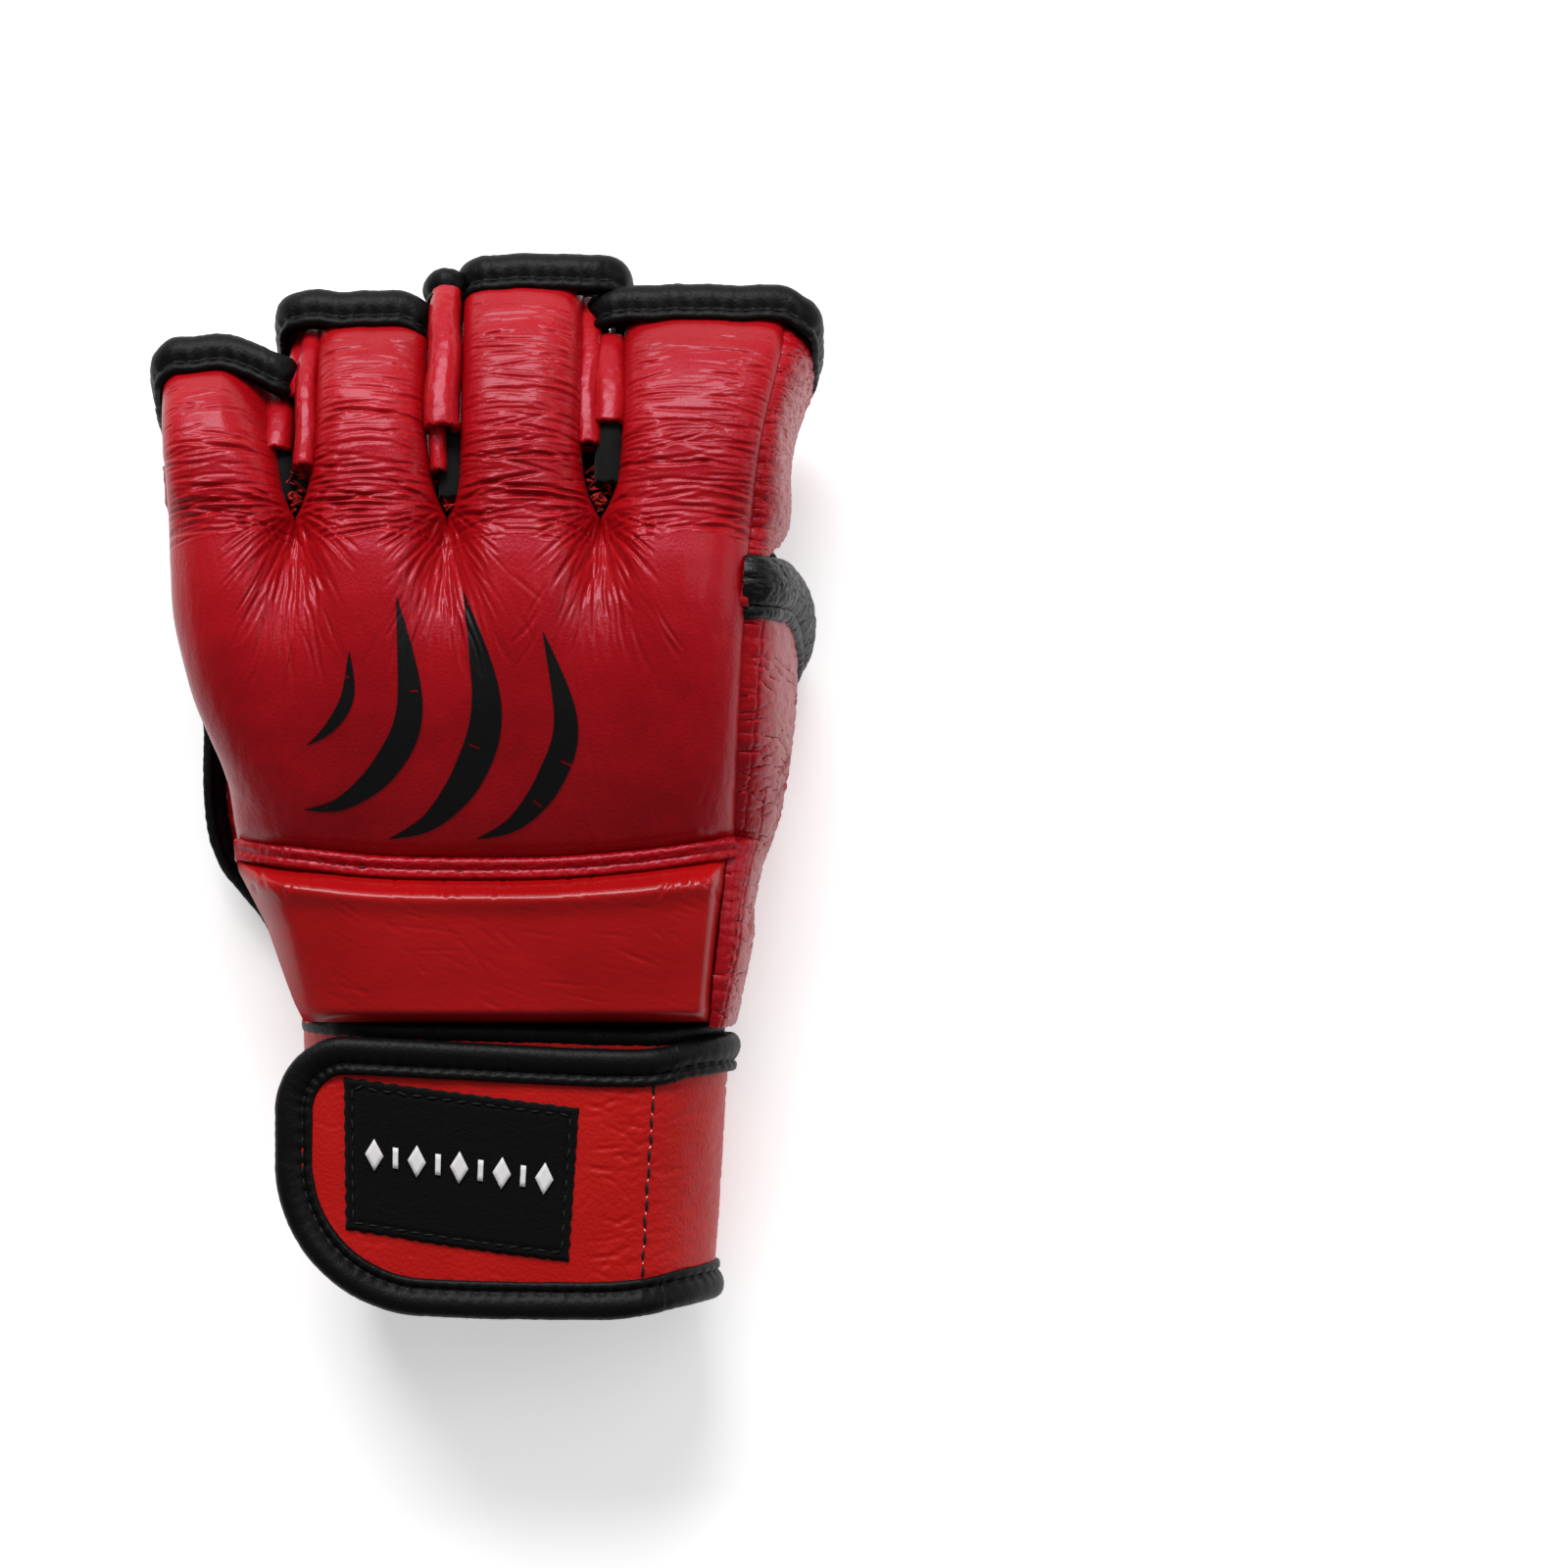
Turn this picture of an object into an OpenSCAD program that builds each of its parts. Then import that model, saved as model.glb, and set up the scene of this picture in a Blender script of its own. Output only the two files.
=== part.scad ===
// Mixed martial arts glove, left hand, lying palm down.
// +X is the thumb side, +Y runs to the fingers and +Z is the back of the hand.

/* [Hand] */
// Width across the knuckle pad
knuckle_w = 120; // [114:1:124]
// Length of the knuckle pad, from the welt to the flex groove
knuckle_l = 70; // [66:1:74]
// Length of the pad on the back of the hand
back_l = 32; // [28:1:34]
// Height of the knuckle crest above the table
crest_h = 57; // [54:0.5:60]
// Thickness of the leather
leather_t = 1.4; // [1:0.1:1.8]

/* [Fingers] */
// Length of the middle finger stall, along its arc
finger_l = 47; // [42:1:50]
// Height of a finger stall's tube
finger_h = 25; // [22:0.5:27]
// Downward tilt of a stall's mouth
curl = 38; // [30:1:42]

/* [Wrist] */
// Width of the wrist, over the strap
wrist_w = 96; // [90:1:100]
// Height of the wrist, over the strap
wrist_h = 43.6; // [41:0.2:46]
// Width of the strap, bindings included
strap_w = 54; // [50:1:58]
// Thickness of the strap
strap_t = 2.6; // [2.2:0.1:3]

/* [Trim] */
// Diameter of the rolled bindings
binding_d = 5; // [4:0.5:5.5]

/* [Hidden] */

red = "crimson";
black = "#1c1c1e";
foam = "lightslategray";

skin_gap = 0.1;      // between a foam and the leather over it
body_gap = 0.6;      // between neighbouring finger stalls
groove = 3.5;        // flex groove between the knuckle pad and the stalls
hinge_gap = 0.4;     // between the tab and the fixed strap at the fold

// Places along the glove, from the strap's lower edge to the stalls
base_tilt = 8;
arc_turn = curl - base_tilt;
function arc_r(length) = length / (arc_turn * PI / 180);
stall_reach = arc_r(finger_l) * (sin(curl) - sin(base_tilt)) + finger_h / 2 * sin(curl);
glove_l = strap_w + back_l + knuckle_l + stall_reach + groove + 7.3;
y_strap = -glove_l / 2;
y_cuff = y_strap + strap_w;
y_back = y_cuff + 4.5;
y_welt = y_back + back_l + 1.5;
y_pad = y_welt + 1.5;
y_groove = y_pad + knuckle_l;
y_stall = y_groove + groove;

// Places across the glove; the pad sits off the bounding box's middle, because the stalls fan out
x_shift = 1.5;
x_pad_left = x_shift - 0.555 * knuckle_w;
x_pad_right = x_shift + 0.445 * knuckle_w;
x_wrist = x_shift + 3;
x_fold = x_wrist + 0.27 * wrist_w;      // where the tab folds open

// Stall: name, share of the knuckle width at its left and right side, share of the finger length
stalls = [
    [-0.592, -0.357, 0.60],
    [-0.357, -0.098, 0.81],
    [-0.098, 0.196, 1.00],
    [0.196, 0.570, 0.83],
];
z_stall = crest_h - 21.5;      // height of a stall's middle at its base
z_lining = crest_h - 20.5;   // underside of the foam on the back of the hand

ring_points = 24;
stall_steps = 5;

// ---------------------------------------------------------------- helpers

function mix(a, b, t) = a + (b - a) * t;
function power(v, n) = sign(v) * pow(abs(v), n);
function sway(list, y) = lookup(y, list);

// Triangles of a grid of points with rows i and columns j, seen clockwise from outside
function quad(a, b, c, d) = [[a, d, c], [a, c, b]];

// Closed solid between an upper and a lower grid of points
module quilt(top, bottom) {
    n = len(top);
    m = len(top[0]);
    o = n * m;
    points = [for (grid = [top, bottom]) for (row = grid) each row];
    upper = [for (i = [0:n - 2], j = [0:m - 2])
        each quad(i * m + j, i * m + j + 1, (i + 1) * m + j + 1, (i + 1) * m + j)];
    lower = [for (t = upper) [t[2] + o, t[1] + o, t[0] + o]];
    rim = concat(
        [for (j = [0:m - 2]) j],
        [for (i = [0:n - 2]) i * m + m - 1],
        [for (j = [m - 1:-1:1]) (n - 1) * m + j],
        [for (i = [n - 1:-1:1]) i * m]
    );
    r = len(rim);
    wall = [for (k = [0:r - 1]) let (a = rim[k], b = rim[(k + 1) % r])
        each [[a, b, b + o], [a, b + o, a + o]]];
    polyhedron(points, concat(upper, lower, wall), convexity = 6);
}

// Closed solid between an outer and an inner tube, both lists of rings
module tube_wall(outer, inner) {
    n = len(outer);
    m = len(outer[0]);
    o = n * m;
    points = [for (grid = [outer, inner]) for (row = grid) each row];
    skin = [for (i = [0:n - 2], j = [0:m - 1]) let (k = (j + 1) % m)
        each quad(i * m + j, i * m + k, (i + 1) * m + k, (i + 1) * m + j)];
    lining = [for (t = skin) [t[2] + o, t[1] + o, t[0] + o]];
    ends = [for (j = [0:m - 1]) let (k = (j + 1) % m, e = (n - 1) * m)
        each [[j, k, k + o], [j, k + o, j + o], [e + j, e + j + o, e + k + o], [e + j, e + k + o, e + k]]];
    polyhedron(points, concat(skin, lining, ends), convexity = 10);
}

// Rolled edge: a tube swept along points; up is never along the path
module rolled(path, d = binding_d, sides = 8, up = [0, 0, 1], closed = false) {
    n = len(path);
    rings = [for (i = [0:n - 1]) let (
        before = path[closed ? (i + n - 1) % n : max(0, i - 1)],
        after = path[closed ? (i + 1) % n : min(n - 1, i + 1)],
        t = (after - before) / norm(after - before),
        s = cross(t, up) / norm(cross(t, up)),
        u = cross(s, t)
    ) [for (k = [0:sides - 1]) path[i] + d / 2 * (cos(360 * k / sides) * s + sin(360 * k / sides) * u)]];
    last = closed ? n - 1 : n - 2;
    skin = [for (i = [0:last], j = [0:sides - 1]) let (k = (j + 1) % sides, p = (i + 1) % n)
        each quad(i * sides + j, i * sides + k, p * sides + k, p * sides + j)];
    caps = closed ? [] : [[for (j = [0:sides - 1]) j], [for (j = [sides - 1:-1:0]) (n - 1) * sides + j]];
    polyhedron([for (r = rings) each r], concat(skin, caps), convexity = 6);
}

// Smooth curve through points, with several steps between neighbours
function curve(p, steps = 3) = let (n = len(p)) concat(
    [for (i = [0:n - 2], k = [0:steps - 1]) let (
        t = k / steps,
        a = p[max(0, i - 1)], b = p[i], c = p[i + 1], d = p[min(n - 1, i + 2)]
    ) b + 0.5 * t * (c - a + t * (2 * a - 5 * b + 4 * c - d + t * (3 * (b - c) + d - a)))],
    [p[n - 1]]
);

// ---------------------------------------------------------------- stalls

function stall_left(i) = x_shift + stalls[i][0] * knuckle_w + body_gap / 2;
function stall_right(i) = x_shift + stalls[i][1] * knuckle_w - body_gap / 2;
function stall_mid(i) = (stall_left(i) + stall_right(i)) / 2;
function stall_w(i) = stall_right(i) - stall_left(i);
function tilt(s) = mix(base_tilt, curl, s);

// A point on stall i at share s of its length, x across and h above its middle line
function on_stall(i, s, x, h) = let (r = arc_r(finger_l * stalls[i][2]), a = tilt(s)) [
    stall_mid(i) + x,
    y_stall + r * (sin(a) - sin(base_tilt)) + h * sin(a),
    z_stall - r * (cos(base_tilt) - cos(a)) + h * cos(a)
];
round_n = 2.6;
function stall_ring(i, s, inset, points = ring_points) = [for (k = [0:points - 1]) let (
    a = -360 * k / points,
    x = (stall_w(i) / 2 - inset) * power(cos(a), 2 / round_n),
    h = (finger_h / 2 - inset) * power(sin(a), 2 / round_n)
) on_stall(i, s, x, h)];
edge_inset = 1.2;    // the leather lies this far inside the bindings' outer face
seat_gap = 0.7;      // between a stall's tube and the foam on top of it
function tube_top(i, x) = (finger_h / 2 - edge_inset)
    * pow(1 - pow(min(1, abs(2 * x / (stall_w(i) - 2 * edge_inset))), round_n), 1 / round_n);

s_mouth = 0.82;      // where the leather ends and the mouth's binding begins
s_sleeve = 7;        // arc from the groove to the sleeve's rear edge
lobe_share = 0.84;   // width of the padded lobe, of the stall's width
function lobe_t(s) = mix(6.5, 0.8, pow(s / s_mouth, 2));
function lobe(i, lift) = [for (a = [0:stall_steps]) [for (b = [-4:4]) let (
    s = s_mouth * a / stall_steps,
    x = lobe_share * stall_w(i) / 2 * b / 4,
    crown = lobe_t(s) * sqrt(1 - pow(0.97 * b / 4, 4))
) on_stall(i, s, x, tube_top(i, x) + seat_gap + (lift < 0 ? 0 : crown + lift))]];

module stall_foam(i) color(foam) quilt(lobe(i, 0), lobe(i, -1));
module stall_cover(i) color(red) quilt(lobe(i, skin_gap + leather_t), lobe(i, skin_gap));
module stall_sleeve(i) {
    first = s_sleeve / (finger_l * stalls[i][2]);
    function rings(inset) = [for (a = [0:stall_steps])
        stall_ring(i, mix(first, s_mouth, a / stall_steps), inset)];
    color(red) tube_wall(rings(edge_inset), rings(edge_inset + leather_t));
}
// The mouth's binding is a band folded over the edge
module stall_binding(i) color(black) tube_wall(
    [for (s = [s_mouth + 0.01, 0.93, 1]) stall_ring(i, s, s == 1 ? 0.3 : 0)],
    [for (s = [s_mouth + 0.01, 0.93, 1]) stall_ring(i, s, edge_inset + leather_t + 1)]
);

// ---------------------------------------------------------------- back of the hand

pad_left = [
    [y_cuff, x_wrist - 0.44 * wrist_w], [y_welt, x_pad_left + 11], [y_pad + 14, x_pad_left + 7],
    [y_pad + 45, x_pad_left], [y_groove, x_pad_left],
];
pad_right = [
    [y_cuff, x_wrist + 0.45 * wrist_w], [y_welt, x_pad_right - 3], [y_groove, x_pad_right],
];
crest = [
    [y_back, crest_h - 12], [y_back + 6, crest_h - 10], [y_welt - 5, crest_h - 9.5],
    [y_welt, crest_h - 12], [y_pad + 6, crest_h - 7], [y_pad + 25, crest_h - 1.5],
    [y_pad + 48, crest_h], [y_groove, crest_h - 3.5],
];
side_drop = 9;

function pad_x(y, u) = mix(sway(pad_left, y), sway(pad_right, y), (u + 1) / 2);
function pad_z(y, u) = sway(crest, y) - side_drop * pow(abs(u), 3.5);
function pad_grid(y0, y1, rows, columns, z) = [for (i = [0:rows]) [for (j = [0:columns])
    let (y = mix(y0, y1, i / rows), u = 2 * j / columns - 1) [pad_x(y, u), y, z(y, u)]]];
foam_under = function (y, u) z_lining - 4 * pow(abs(u), 3);

module foam_slab(y0, y1, rows) color(foam) quilt(
    pad_grid(y0, y1, rows, 10, function (y, u) pad_z(y, u) - leather_t - skin_gap),
    pad_grid(y0, y1, rows, 10, foam_under)
);
module cover_sheet(y0, y1, rows) color(red) quilt(
    pad_grid(y0, y1, rows, 10, function (y, u) pad_z(y, u)),
    pad_grid(y0, y1, rows, 10, function (y, u) pad_z(y, u) - leather_t)
);
module knuckle_foam() foam_slab(y_pad, y_groove, 7);
module knuckle_cover() cover_sheet(y_pad, y_groove, 7);
module back_foam() foam_slab(y_back, y_welt - 1.5, 3);
module back_cover() cover_sheet(y_back, y_welt - 1.5, 3);
module pad_welt() color(red) rolled(
    [for (j = [0:12]) let (u = 1.94 * j / 12 - 0.97) [pad_x(y_welt, u), y_welt, pad_z(y_welt, u) - 1]],
    d = 2.6, sides = 6
);
module dorsal_lining() color(black) quilt(
    pad_grid(y_back, y_groove, 6, 8, function (y, u) foam_under(y, u) - 0.1),
    pad_grid(y_back, y_groove, 6, 8, function (y, u) foam_under(y, u) - 1.1)
);

// ---------------------------------------------------------------- sides and palm

// Sheet that rolls from the pad's edge down towards the palm; side is +1 on the thumb's side.
// low, bulge and tuck: its lower edge, how far it stands out, and how far its lower edge turns in
module side_sheet(edge, side, y0, y1, rows, low, bulge, tuck = 0) {
    function fold(y, a, t) = let (
        high = pad_z(y, 1) - 0.8,
        middle = (high + low(y)) / 2,
        r = (high - low(y)) / 2 - t,
        turn = a < 0 ? tuck * pow(-sin(a), 4) : 0
    ) [sway(edge, y) + side * (0.6 + (bulge(y) - t) * pow(abs(cos(a)), 0.8) - turn), y, middle + r * sin(a)];
    function sheet(t) = [for (i = [0:rows]) [for (k = [0:7]) fold(mix(y0, y1, i / rows), 90 - 180 * k / 7, t)]];
    color(red) if (side > 0) quilt(sheet(0), sheet(leather_t)); else quilt(sheet(leather_t), sheet(0));
}
z_palm = 6;
y_thumb = y_groove - 27;      // lower edge of the thumb opening
y_hole = y_thumb + 15;        // upper edge of the thumb opening, at the side
hole_edge = [
    [y_thumb, crest_h - 26], [y_hole - 3, crest_h - 26], [y_hole + 2, crest_h - 33], [y_groove, 14],
];
module ulnar_panel() side_sheet(pad_left, -1, y_back, y_groove, 6,
    function (y) z_palm, function (y) 4.5, 5);
module radial_gusset() side_sheet(pad_right, 1, y_back, y_thumb - 1, 5,
    function (y) z_palm, function (y) mix(5, 8, (y - y_back) / (y_thumb - y_back)), 4);
module index_gusset() side_sheet(pad_right, 1, y_thumb, y_groove, 6,
    function (y) sway(hole_edge, y), function (y) mix(7, 4, (y - y_thumb) / (y_groove - y_thumb)));

// Edge of the leather over the ball of the thumb, from the thumb opening round to the wrist
thenar_edge = [
    [x_pad_right + 8, y_thumb + 6], [x_pad_right + 3, y_thumb + 20], [x_pad_right - 10, y_thumb + 32],
    [x_pad_right - 24, y_thumb + 35], [x_pad_right - 39, y_thumb + 28], [x_pad_right - 47, y_thumb + 14],
    [x_pad_right - 45, y_thumb - 2], [x_pad_right - 39, y_thumb - 16], [x_pad_right - 33, y_thumb - 32],
    [x_pad_right - 34, y_thumb - 46], [x_pad_right - 42, y_thumb - 55], [x_pad_right - 51, y_thumb - 61],
];
thenar_line = curve([for (p = thenar_edge) [p[0], p[1], z_palm]], 2);
thenar_in = [
    [y_back, x_pad_right - 55], [y_thumb - 62, x_pad_right - 44], [y_thumb - 56, x_pad_right - 37],
    [y_thumb - 46, x_pad_right - 30], [y_thumb - 32, x_pad_right - 30], [y_thumb - 16, x_pad_right - 36],
    [y_thumb - 2, x_pad_right - 42], [y_thumb + 14, x_pad_right - 44], [y_thumb + 25, x_pad_right - 38],
    [y_thumb + 32, x_pad_right - 28],
];
thenar_out = [
    [y_back, sway(pad_right, y_back) + 1], [y_thumb - 1, x_pad_right + 3], [y_thumb + 6, x_pad_right + 4.5],
    [y_thumb + 19, x_pad_right - 1.5], [y_thumb + 28, x_pad_right - 11], [y_thumb + 32, x_pad_right - 20],
];
module thenar_panel() {
    function sheet(z) = [for (i = [0:12]) [for (j = [0:3])
        let (y = mix(y_back, y_thumb + 31, i / 12))
        [mix(sway(thenar_in, y), sway(thenar_out, y), j / 3), y, z]]];
    color(red) quilt(sheet(z_palm - 0.2), sheet(z_palm - 0.2 - leather_t));
}
thumb_ball = [x_pad_right - 20, y_thumb + 6];
module thenar_outline() {
    translate(thumb_ball) circle(d = 43, $fn = 48);
    translate(thumb_ball + [6, -26]) circle(d = 38, $fn = 48);
    translate(thumb_ball + [3, -13]) rotate(13) square([36, 24], center = true);
}
module thenar_half(upper) intersection() {
    thenar_outline();
    translate(thumb_ball + [2, -14]) rotate(29)
        translate([-40, upper ? 1 : -61]) square([80, 60]);
}
thenar_foam_t = z_palm - leather_t - 0.3;
module thenar_foam(upper) color(red) linear_extrude(thenar_foam_t) thenar_half(upper);

// Strap across the palm at the roots of the fingers
z_bar = binding_d / 2;
bar_lower = [
    [x_pad_left + 8, y_groove - 25, 7], [x_pad_left + 22, y_groove - 25, z_bar],
    [x_pad_left + 44, y_groove - 22, z_bar], [x_pad_left + 58, y_groove - 18, z_bar + 4.5],
    [x_pad_left + 68, y_groove - 16, 11], [x_pad_right - 24, y_groove - 13, 11.5],
    [x_pad_right - 1, y_groove - 12, 11.5],
];
bar_upper = [
    [x_pad_left + 8, y_groove - 3, 7], [x_pad_left + 24, y_groove - 9, z_bar],
    [x_pad_left + 44, y_groove - 10, z_bar], [x_pad_left + 58, y_groove - 7, z_bar + 4.5],
    [x_pad_left + 68, y_groove - 4, 11], [x_pad_right - 24, y_groove - 3, 11.5],
    [x_pad_right - 1, y_groove - 2.5, 11.5],
];
function on_table(path) = [for (p = path) [p[0], p[1], max(p[2], z_bar)]];
module palm_bar() {
    low = on_table(curve(bar_lower, 2));
    high = on_table(curve(bar_upper, 2));
    inset = binding_d / 2 + 0.6;
    function strip(lift) = [for (t = [0, 0.5, 1]) [for (k = [0:len(low) - 1])
        let (p = low[k] + [0, inset, 0], q = high[k] - [0, inset, 0]) mix(p, q, t) + [0, 0, lift]]];
    color(red) quilt(strip(leather_t / 2), strip(-leather_t / 2));
}
module palm_bar_upper_binding() color(black) rolled(on_table(curve(bar_upper, 3)));
module palm_bar_lower_binding() color(black) rolled(on_table(curve(bar_lower, 3)));

module thenar_binding() color(black) rolled([for (p = thenar_line) p - [0, 0, 0.5]], up = [0, 0, 1], d = 4.4);
module ulnar_binding() color(black) rolled(
    [for (k = [0:10]) let (y = mix(y_groove - 29, y_back + 17, k / 10)) [sway(pad_left, y) + 7.4, y, z_palm + 1]],
    d = 4.6
);

// Edge of the strap's first turn, where it runs slanting over the heel of the hand
cuff_edge = [
    [x_wrist - 43, y_back + 21, 4.2], [x_wrist - 30, y_back + 17.5, 2.4], [x_wrist - 5, y_back + 10, 2.2],
    [x_wrist + 18, y_back + 4.5, 2.2], [x_wrist + 38, y_back + 2.5, 2.2],
];
cuff_d = 4.2;
module cuff_binding() color(black) rolled(curve(cuff_edge, 3), d = cuff_d);
module palm_cuff() {
    high = [for (p = curve(cuff_edge, 2)) [p[0], p[1] - cuff_d / 2 - 0.3, 3.9]];
    function sheet(lift) = [for (t = [0:2]) [for (p = high)
        [p[0], mix(min(y_cuff + 3.2, p[1] - 1), p[1], t / 2), p[2] + lift]]];
    color(red) quilt(sheet(0), sheet(-leather_t));
}
module thumb_hole_binding() color(black) rolled(curve([
    [x_pad_right + 8.5, y_thumb + 1.5, 9.5], [x_pad_right + 9.5, y_thumb + 0.5, 18],
    [x_pad_right + 9, y_thumb + 1.5, crest_h - 30], [x_pad_right + 7.5, y_thumb + 7, crest_h - 29],
    [x_pad_right + 6, y_hole - 2, crest_h - 29.5], [x_pad_right + 5, y_hole + 2, crest_h - 37],
    [x_pad_right + 2, y_groove - 4, 15.5],
], 3), up = [1, 0, 0], d = 4.6);

// ---------------------------------------------------------------- wrist

patch_t = 1;
strap_edge = 2.4;        // width of a binding along the strap
binding_over = 0.7;      // how far a strap binding stands above the leather

module stadium(w, h, z0 = 0) translate([x_wrist, z0 + h / 2]) {
    square([w - h, h], center = true);
    for (side = [-1, 1]) translate([side * (w - h) / 2, 0]) circle(d = h, $fn = 96);
}
// Prism along Y from y0, with its outline drawn in X and Z
module along(y0, length) translate([0, y0 + length, 0]) rotate([90, 0, 0]) linear_extrude(length) children();

top_outer = wrist_h - binding_over;
top_tab = top_outer - strap_t;                 // underside of the tab
top_inner = top_tab - 2 * patch_t - 0.3;       // top of the inner wrap
module ring_2d(w, h, z0, t) difference() {
    stadium(w, h, z0);
    stadium(w - 2 * t, h - 2 * t, z0 + t);
}
inner_z = strap_t + 0.3;
inner_w = wrist_w - 2 * strap_t - 1.8;
inner_h = top_inner - inner_z;
y_leather = y_strap + strap_edge;
leather_w = strap_w - 2 * strap_edge;

module wrist_lining() color(black) along(y_leather, strap_w)
    ring_2d(inner_w - 2 * strap_t - 0.2, inner_h - 2 * strap_t - 0.2, inner_z + strap_t + 0.1, 1);
module inner_wrap() color(red) along(y_leather, leather_w + 3)
    ring_2d(inner_w, inner_h, inner_z, strap_t);
module inner_wrap_binding() color(black) along(y_leather + leather_w + 3, strap_edge)
    ring_2d(inner_w + 0.6, inner_h + 0.6, inner_z - 0.3, strap_t + 0.3);

// The outer wrap is open over the back of the hand, where the tab closes it
module outer_ring_2d(over) difference() {
    stadium(wrist_w, top_outer + over);
    stadium(wrist_w - 2 * strap_t, top_outer - 2 * strap_t, strap_t);
    translate([x_fold + hinge_gap - 200, top_tab - 6]) square([200, 20]);
}
module outer_wrap() color(red) along(y_leather, leather_w) outer_ring_2d(0);
module outer_wrap_bindings() color(black) for (y = [y_strap, y_leather + leather_w])
    along(y, strap_edge) outer_ring_2d(binding_over - 0.3);

module loop_patch() color(black) translate([x_wrist - 24, y_leather + 4, top_inner + 0.05])
    cube([48, leather_w - 8, patch_t]);

// ---------------------------------------------------------------- tab

tab_l = 0.755 * wrist_w;
module tab_2d() intersection() {
    translate([x_fold - tab_l, y_strap]) {
        translate([24, 0]) square([tab_l - 24, strap_w]);
        translate([24, 24]) circle(r = 24, $fn = 96);
        translate([15, strap_w - 15]) circle(r = 15, $fn = 96);
        translate([0, 24]) square([40, strap_w - 39]);
        translate([15, 24]) square([40, strap_w - 24]);
    }
    translate([x_fold - 200, y_strap]) square([200, strap_w]);
}
module strap_tab() color(red) translate([0, 0, top_tab]) linear_extrude(strap_t)
    intersection() {
        tab_outline_inner();
        translate([x_fold - 200, y_leather]) square([200, leather_w]);
    }
module tab_outline_inner() translate([x_fold - tab_l + strap_edge, y_leather]) {
    r1 = 24 - strap_edge;
    r2 = 15 - strap_edge;
    translate([r1, 0]) square([tab_l - strap_edge - r1, leather_w]);
    translate([r1, r1]) circle(r = r1, $fn = 96);
    translate([r2, leather_w - r2]) circle(r = r2, $fn = 96);
    translate([0, r1]) square([r1 + 10, leather_w - r1 - r2]);
    translate([r2, r1]) square([40, leather_w - r1]);
}
module tab_binding() color(black) translate([0, 0, top_tab - 0.3])
    linear_extrude(strap_t + binding_over + 0.2) difference() {
        tab_2d();
        tab_outline_inner();
        translate([x_fold - 20, y_leather]) square([40, leather_w]);
    }
module hook_patch() color(black) translate([x_wrist - 30, y_leather + 6, top_tab - patch_t - 0.05])
    cube([46, leather_w - 12, patch_t]);
label_w = 48;
label_h = 33;
label_t = 0.6;
module label_patch() color(black)
    translate([x_fold - tab_l + 15, y_strap + strap_w / 2 - label_h / 2, top_outer + 0.02])
        cube([label_w, label_h, label_t]);
stitch_n = 11;
module tab_stitches() color("indianred") for (k = [0:stitch_n - 1])
    translate([x_fold - 2.2, y_leather + leather_w * (k + 0.5) / stitch_n, top_outer + 0.02])
        translate([-0.4, -1.4, 0]) cube([0.8, 2.8, 0.4]);

// ---------------------------------------------------------------- nodes

knuckle_foam();
knuckle_cover();
back_foam();
back_cover();
pad_welt();
dorsal_lining();
ulnar_panel();
radial_gusset();
index_gusset();
palm_cuff();
cuff_binding();
thenar_panel();
thenar_foam(true);  // thenar_foam_upper
thenar_foam(false);  // thenar_foam_lower
palm_bar();
palm_bar_upper_binding();
palm_bar_lower_binding();
ulnar_binding();
thenar_binding();
thumb_hole_binding();
wrist_lining();
inner_wrap();
inner_wrap_binding();
outer_wrap();
outer_wrap_bindings();
loop_patch();
strap_tab();
tab_binding();
hook_patch();
label_patch();
tab_stitches();
stall_foam(0);  // little_foam
stall_cover(0);  // little_cover
stall_sleeve(0);  // little_sleeve
stall_binding(0);  // little_binding
stall_foam(1);  // ring_foam
stall_cover(1);  // ring_cover
stall_sleeve(1);  // ring_sleeve
stall_binding(1);  // ring_binding
stall_foam(2);  // middle_foam
stall_cover(2);  // middle_cover
stall_sleeve(2);  // middle_sleeve
stall_binding(2);  // middle_binding
stall_foam(3);  // index_foam
stall_cover(3);  // index_cover
stall_sleeve(3);  // index_sleeve
stall_binding(3);  // index_binding
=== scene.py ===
import math

import bmesh
import bpy
import numpy as np
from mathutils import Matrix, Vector


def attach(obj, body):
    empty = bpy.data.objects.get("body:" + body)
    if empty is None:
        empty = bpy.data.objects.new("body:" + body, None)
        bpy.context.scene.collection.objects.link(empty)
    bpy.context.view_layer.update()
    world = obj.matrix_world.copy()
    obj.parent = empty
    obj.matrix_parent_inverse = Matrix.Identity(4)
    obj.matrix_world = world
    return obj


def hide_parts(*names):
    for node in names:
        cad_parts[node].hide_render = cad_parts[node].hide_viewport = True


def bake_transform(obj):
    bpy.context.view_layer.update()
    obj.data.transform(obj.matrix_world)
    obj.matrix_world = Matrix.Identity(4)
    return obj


# Lengths are in millimetres until new_object turns them into metres. x runs to the thumb's side,
# y to the fingers and z out of the back of the hand.

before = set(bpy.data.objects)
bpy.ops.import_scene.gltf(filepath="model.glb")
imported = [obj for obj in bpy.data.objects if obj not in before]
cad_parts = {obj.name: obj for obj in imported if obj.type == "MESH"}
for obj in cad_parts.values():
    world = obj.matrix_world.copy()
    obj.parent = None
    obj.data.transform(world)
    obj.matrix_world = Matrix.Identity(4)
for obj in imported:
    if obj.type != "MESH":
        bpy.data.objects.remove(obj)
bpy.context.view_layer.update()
MM = 0.001
rng = np.random.default_rng(11)

# ---------------------------------------- small maths


def smooth(t):
    t = np.clip(t, 0, 1)
    return t * t * (3 - 2 * t)


def mix(a, b, t):
    return a + (b - a) * t


def unit(v):
    return v / np.maximum(np.linalg.norm(v, axis=-1, keepdims=True), 1e-12)


def xyz(x, y, z):
    """Points from coordinates of matching shapes."""
    return np.stack(np.broadcast_arrays(x, y, z), -1)


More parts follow.
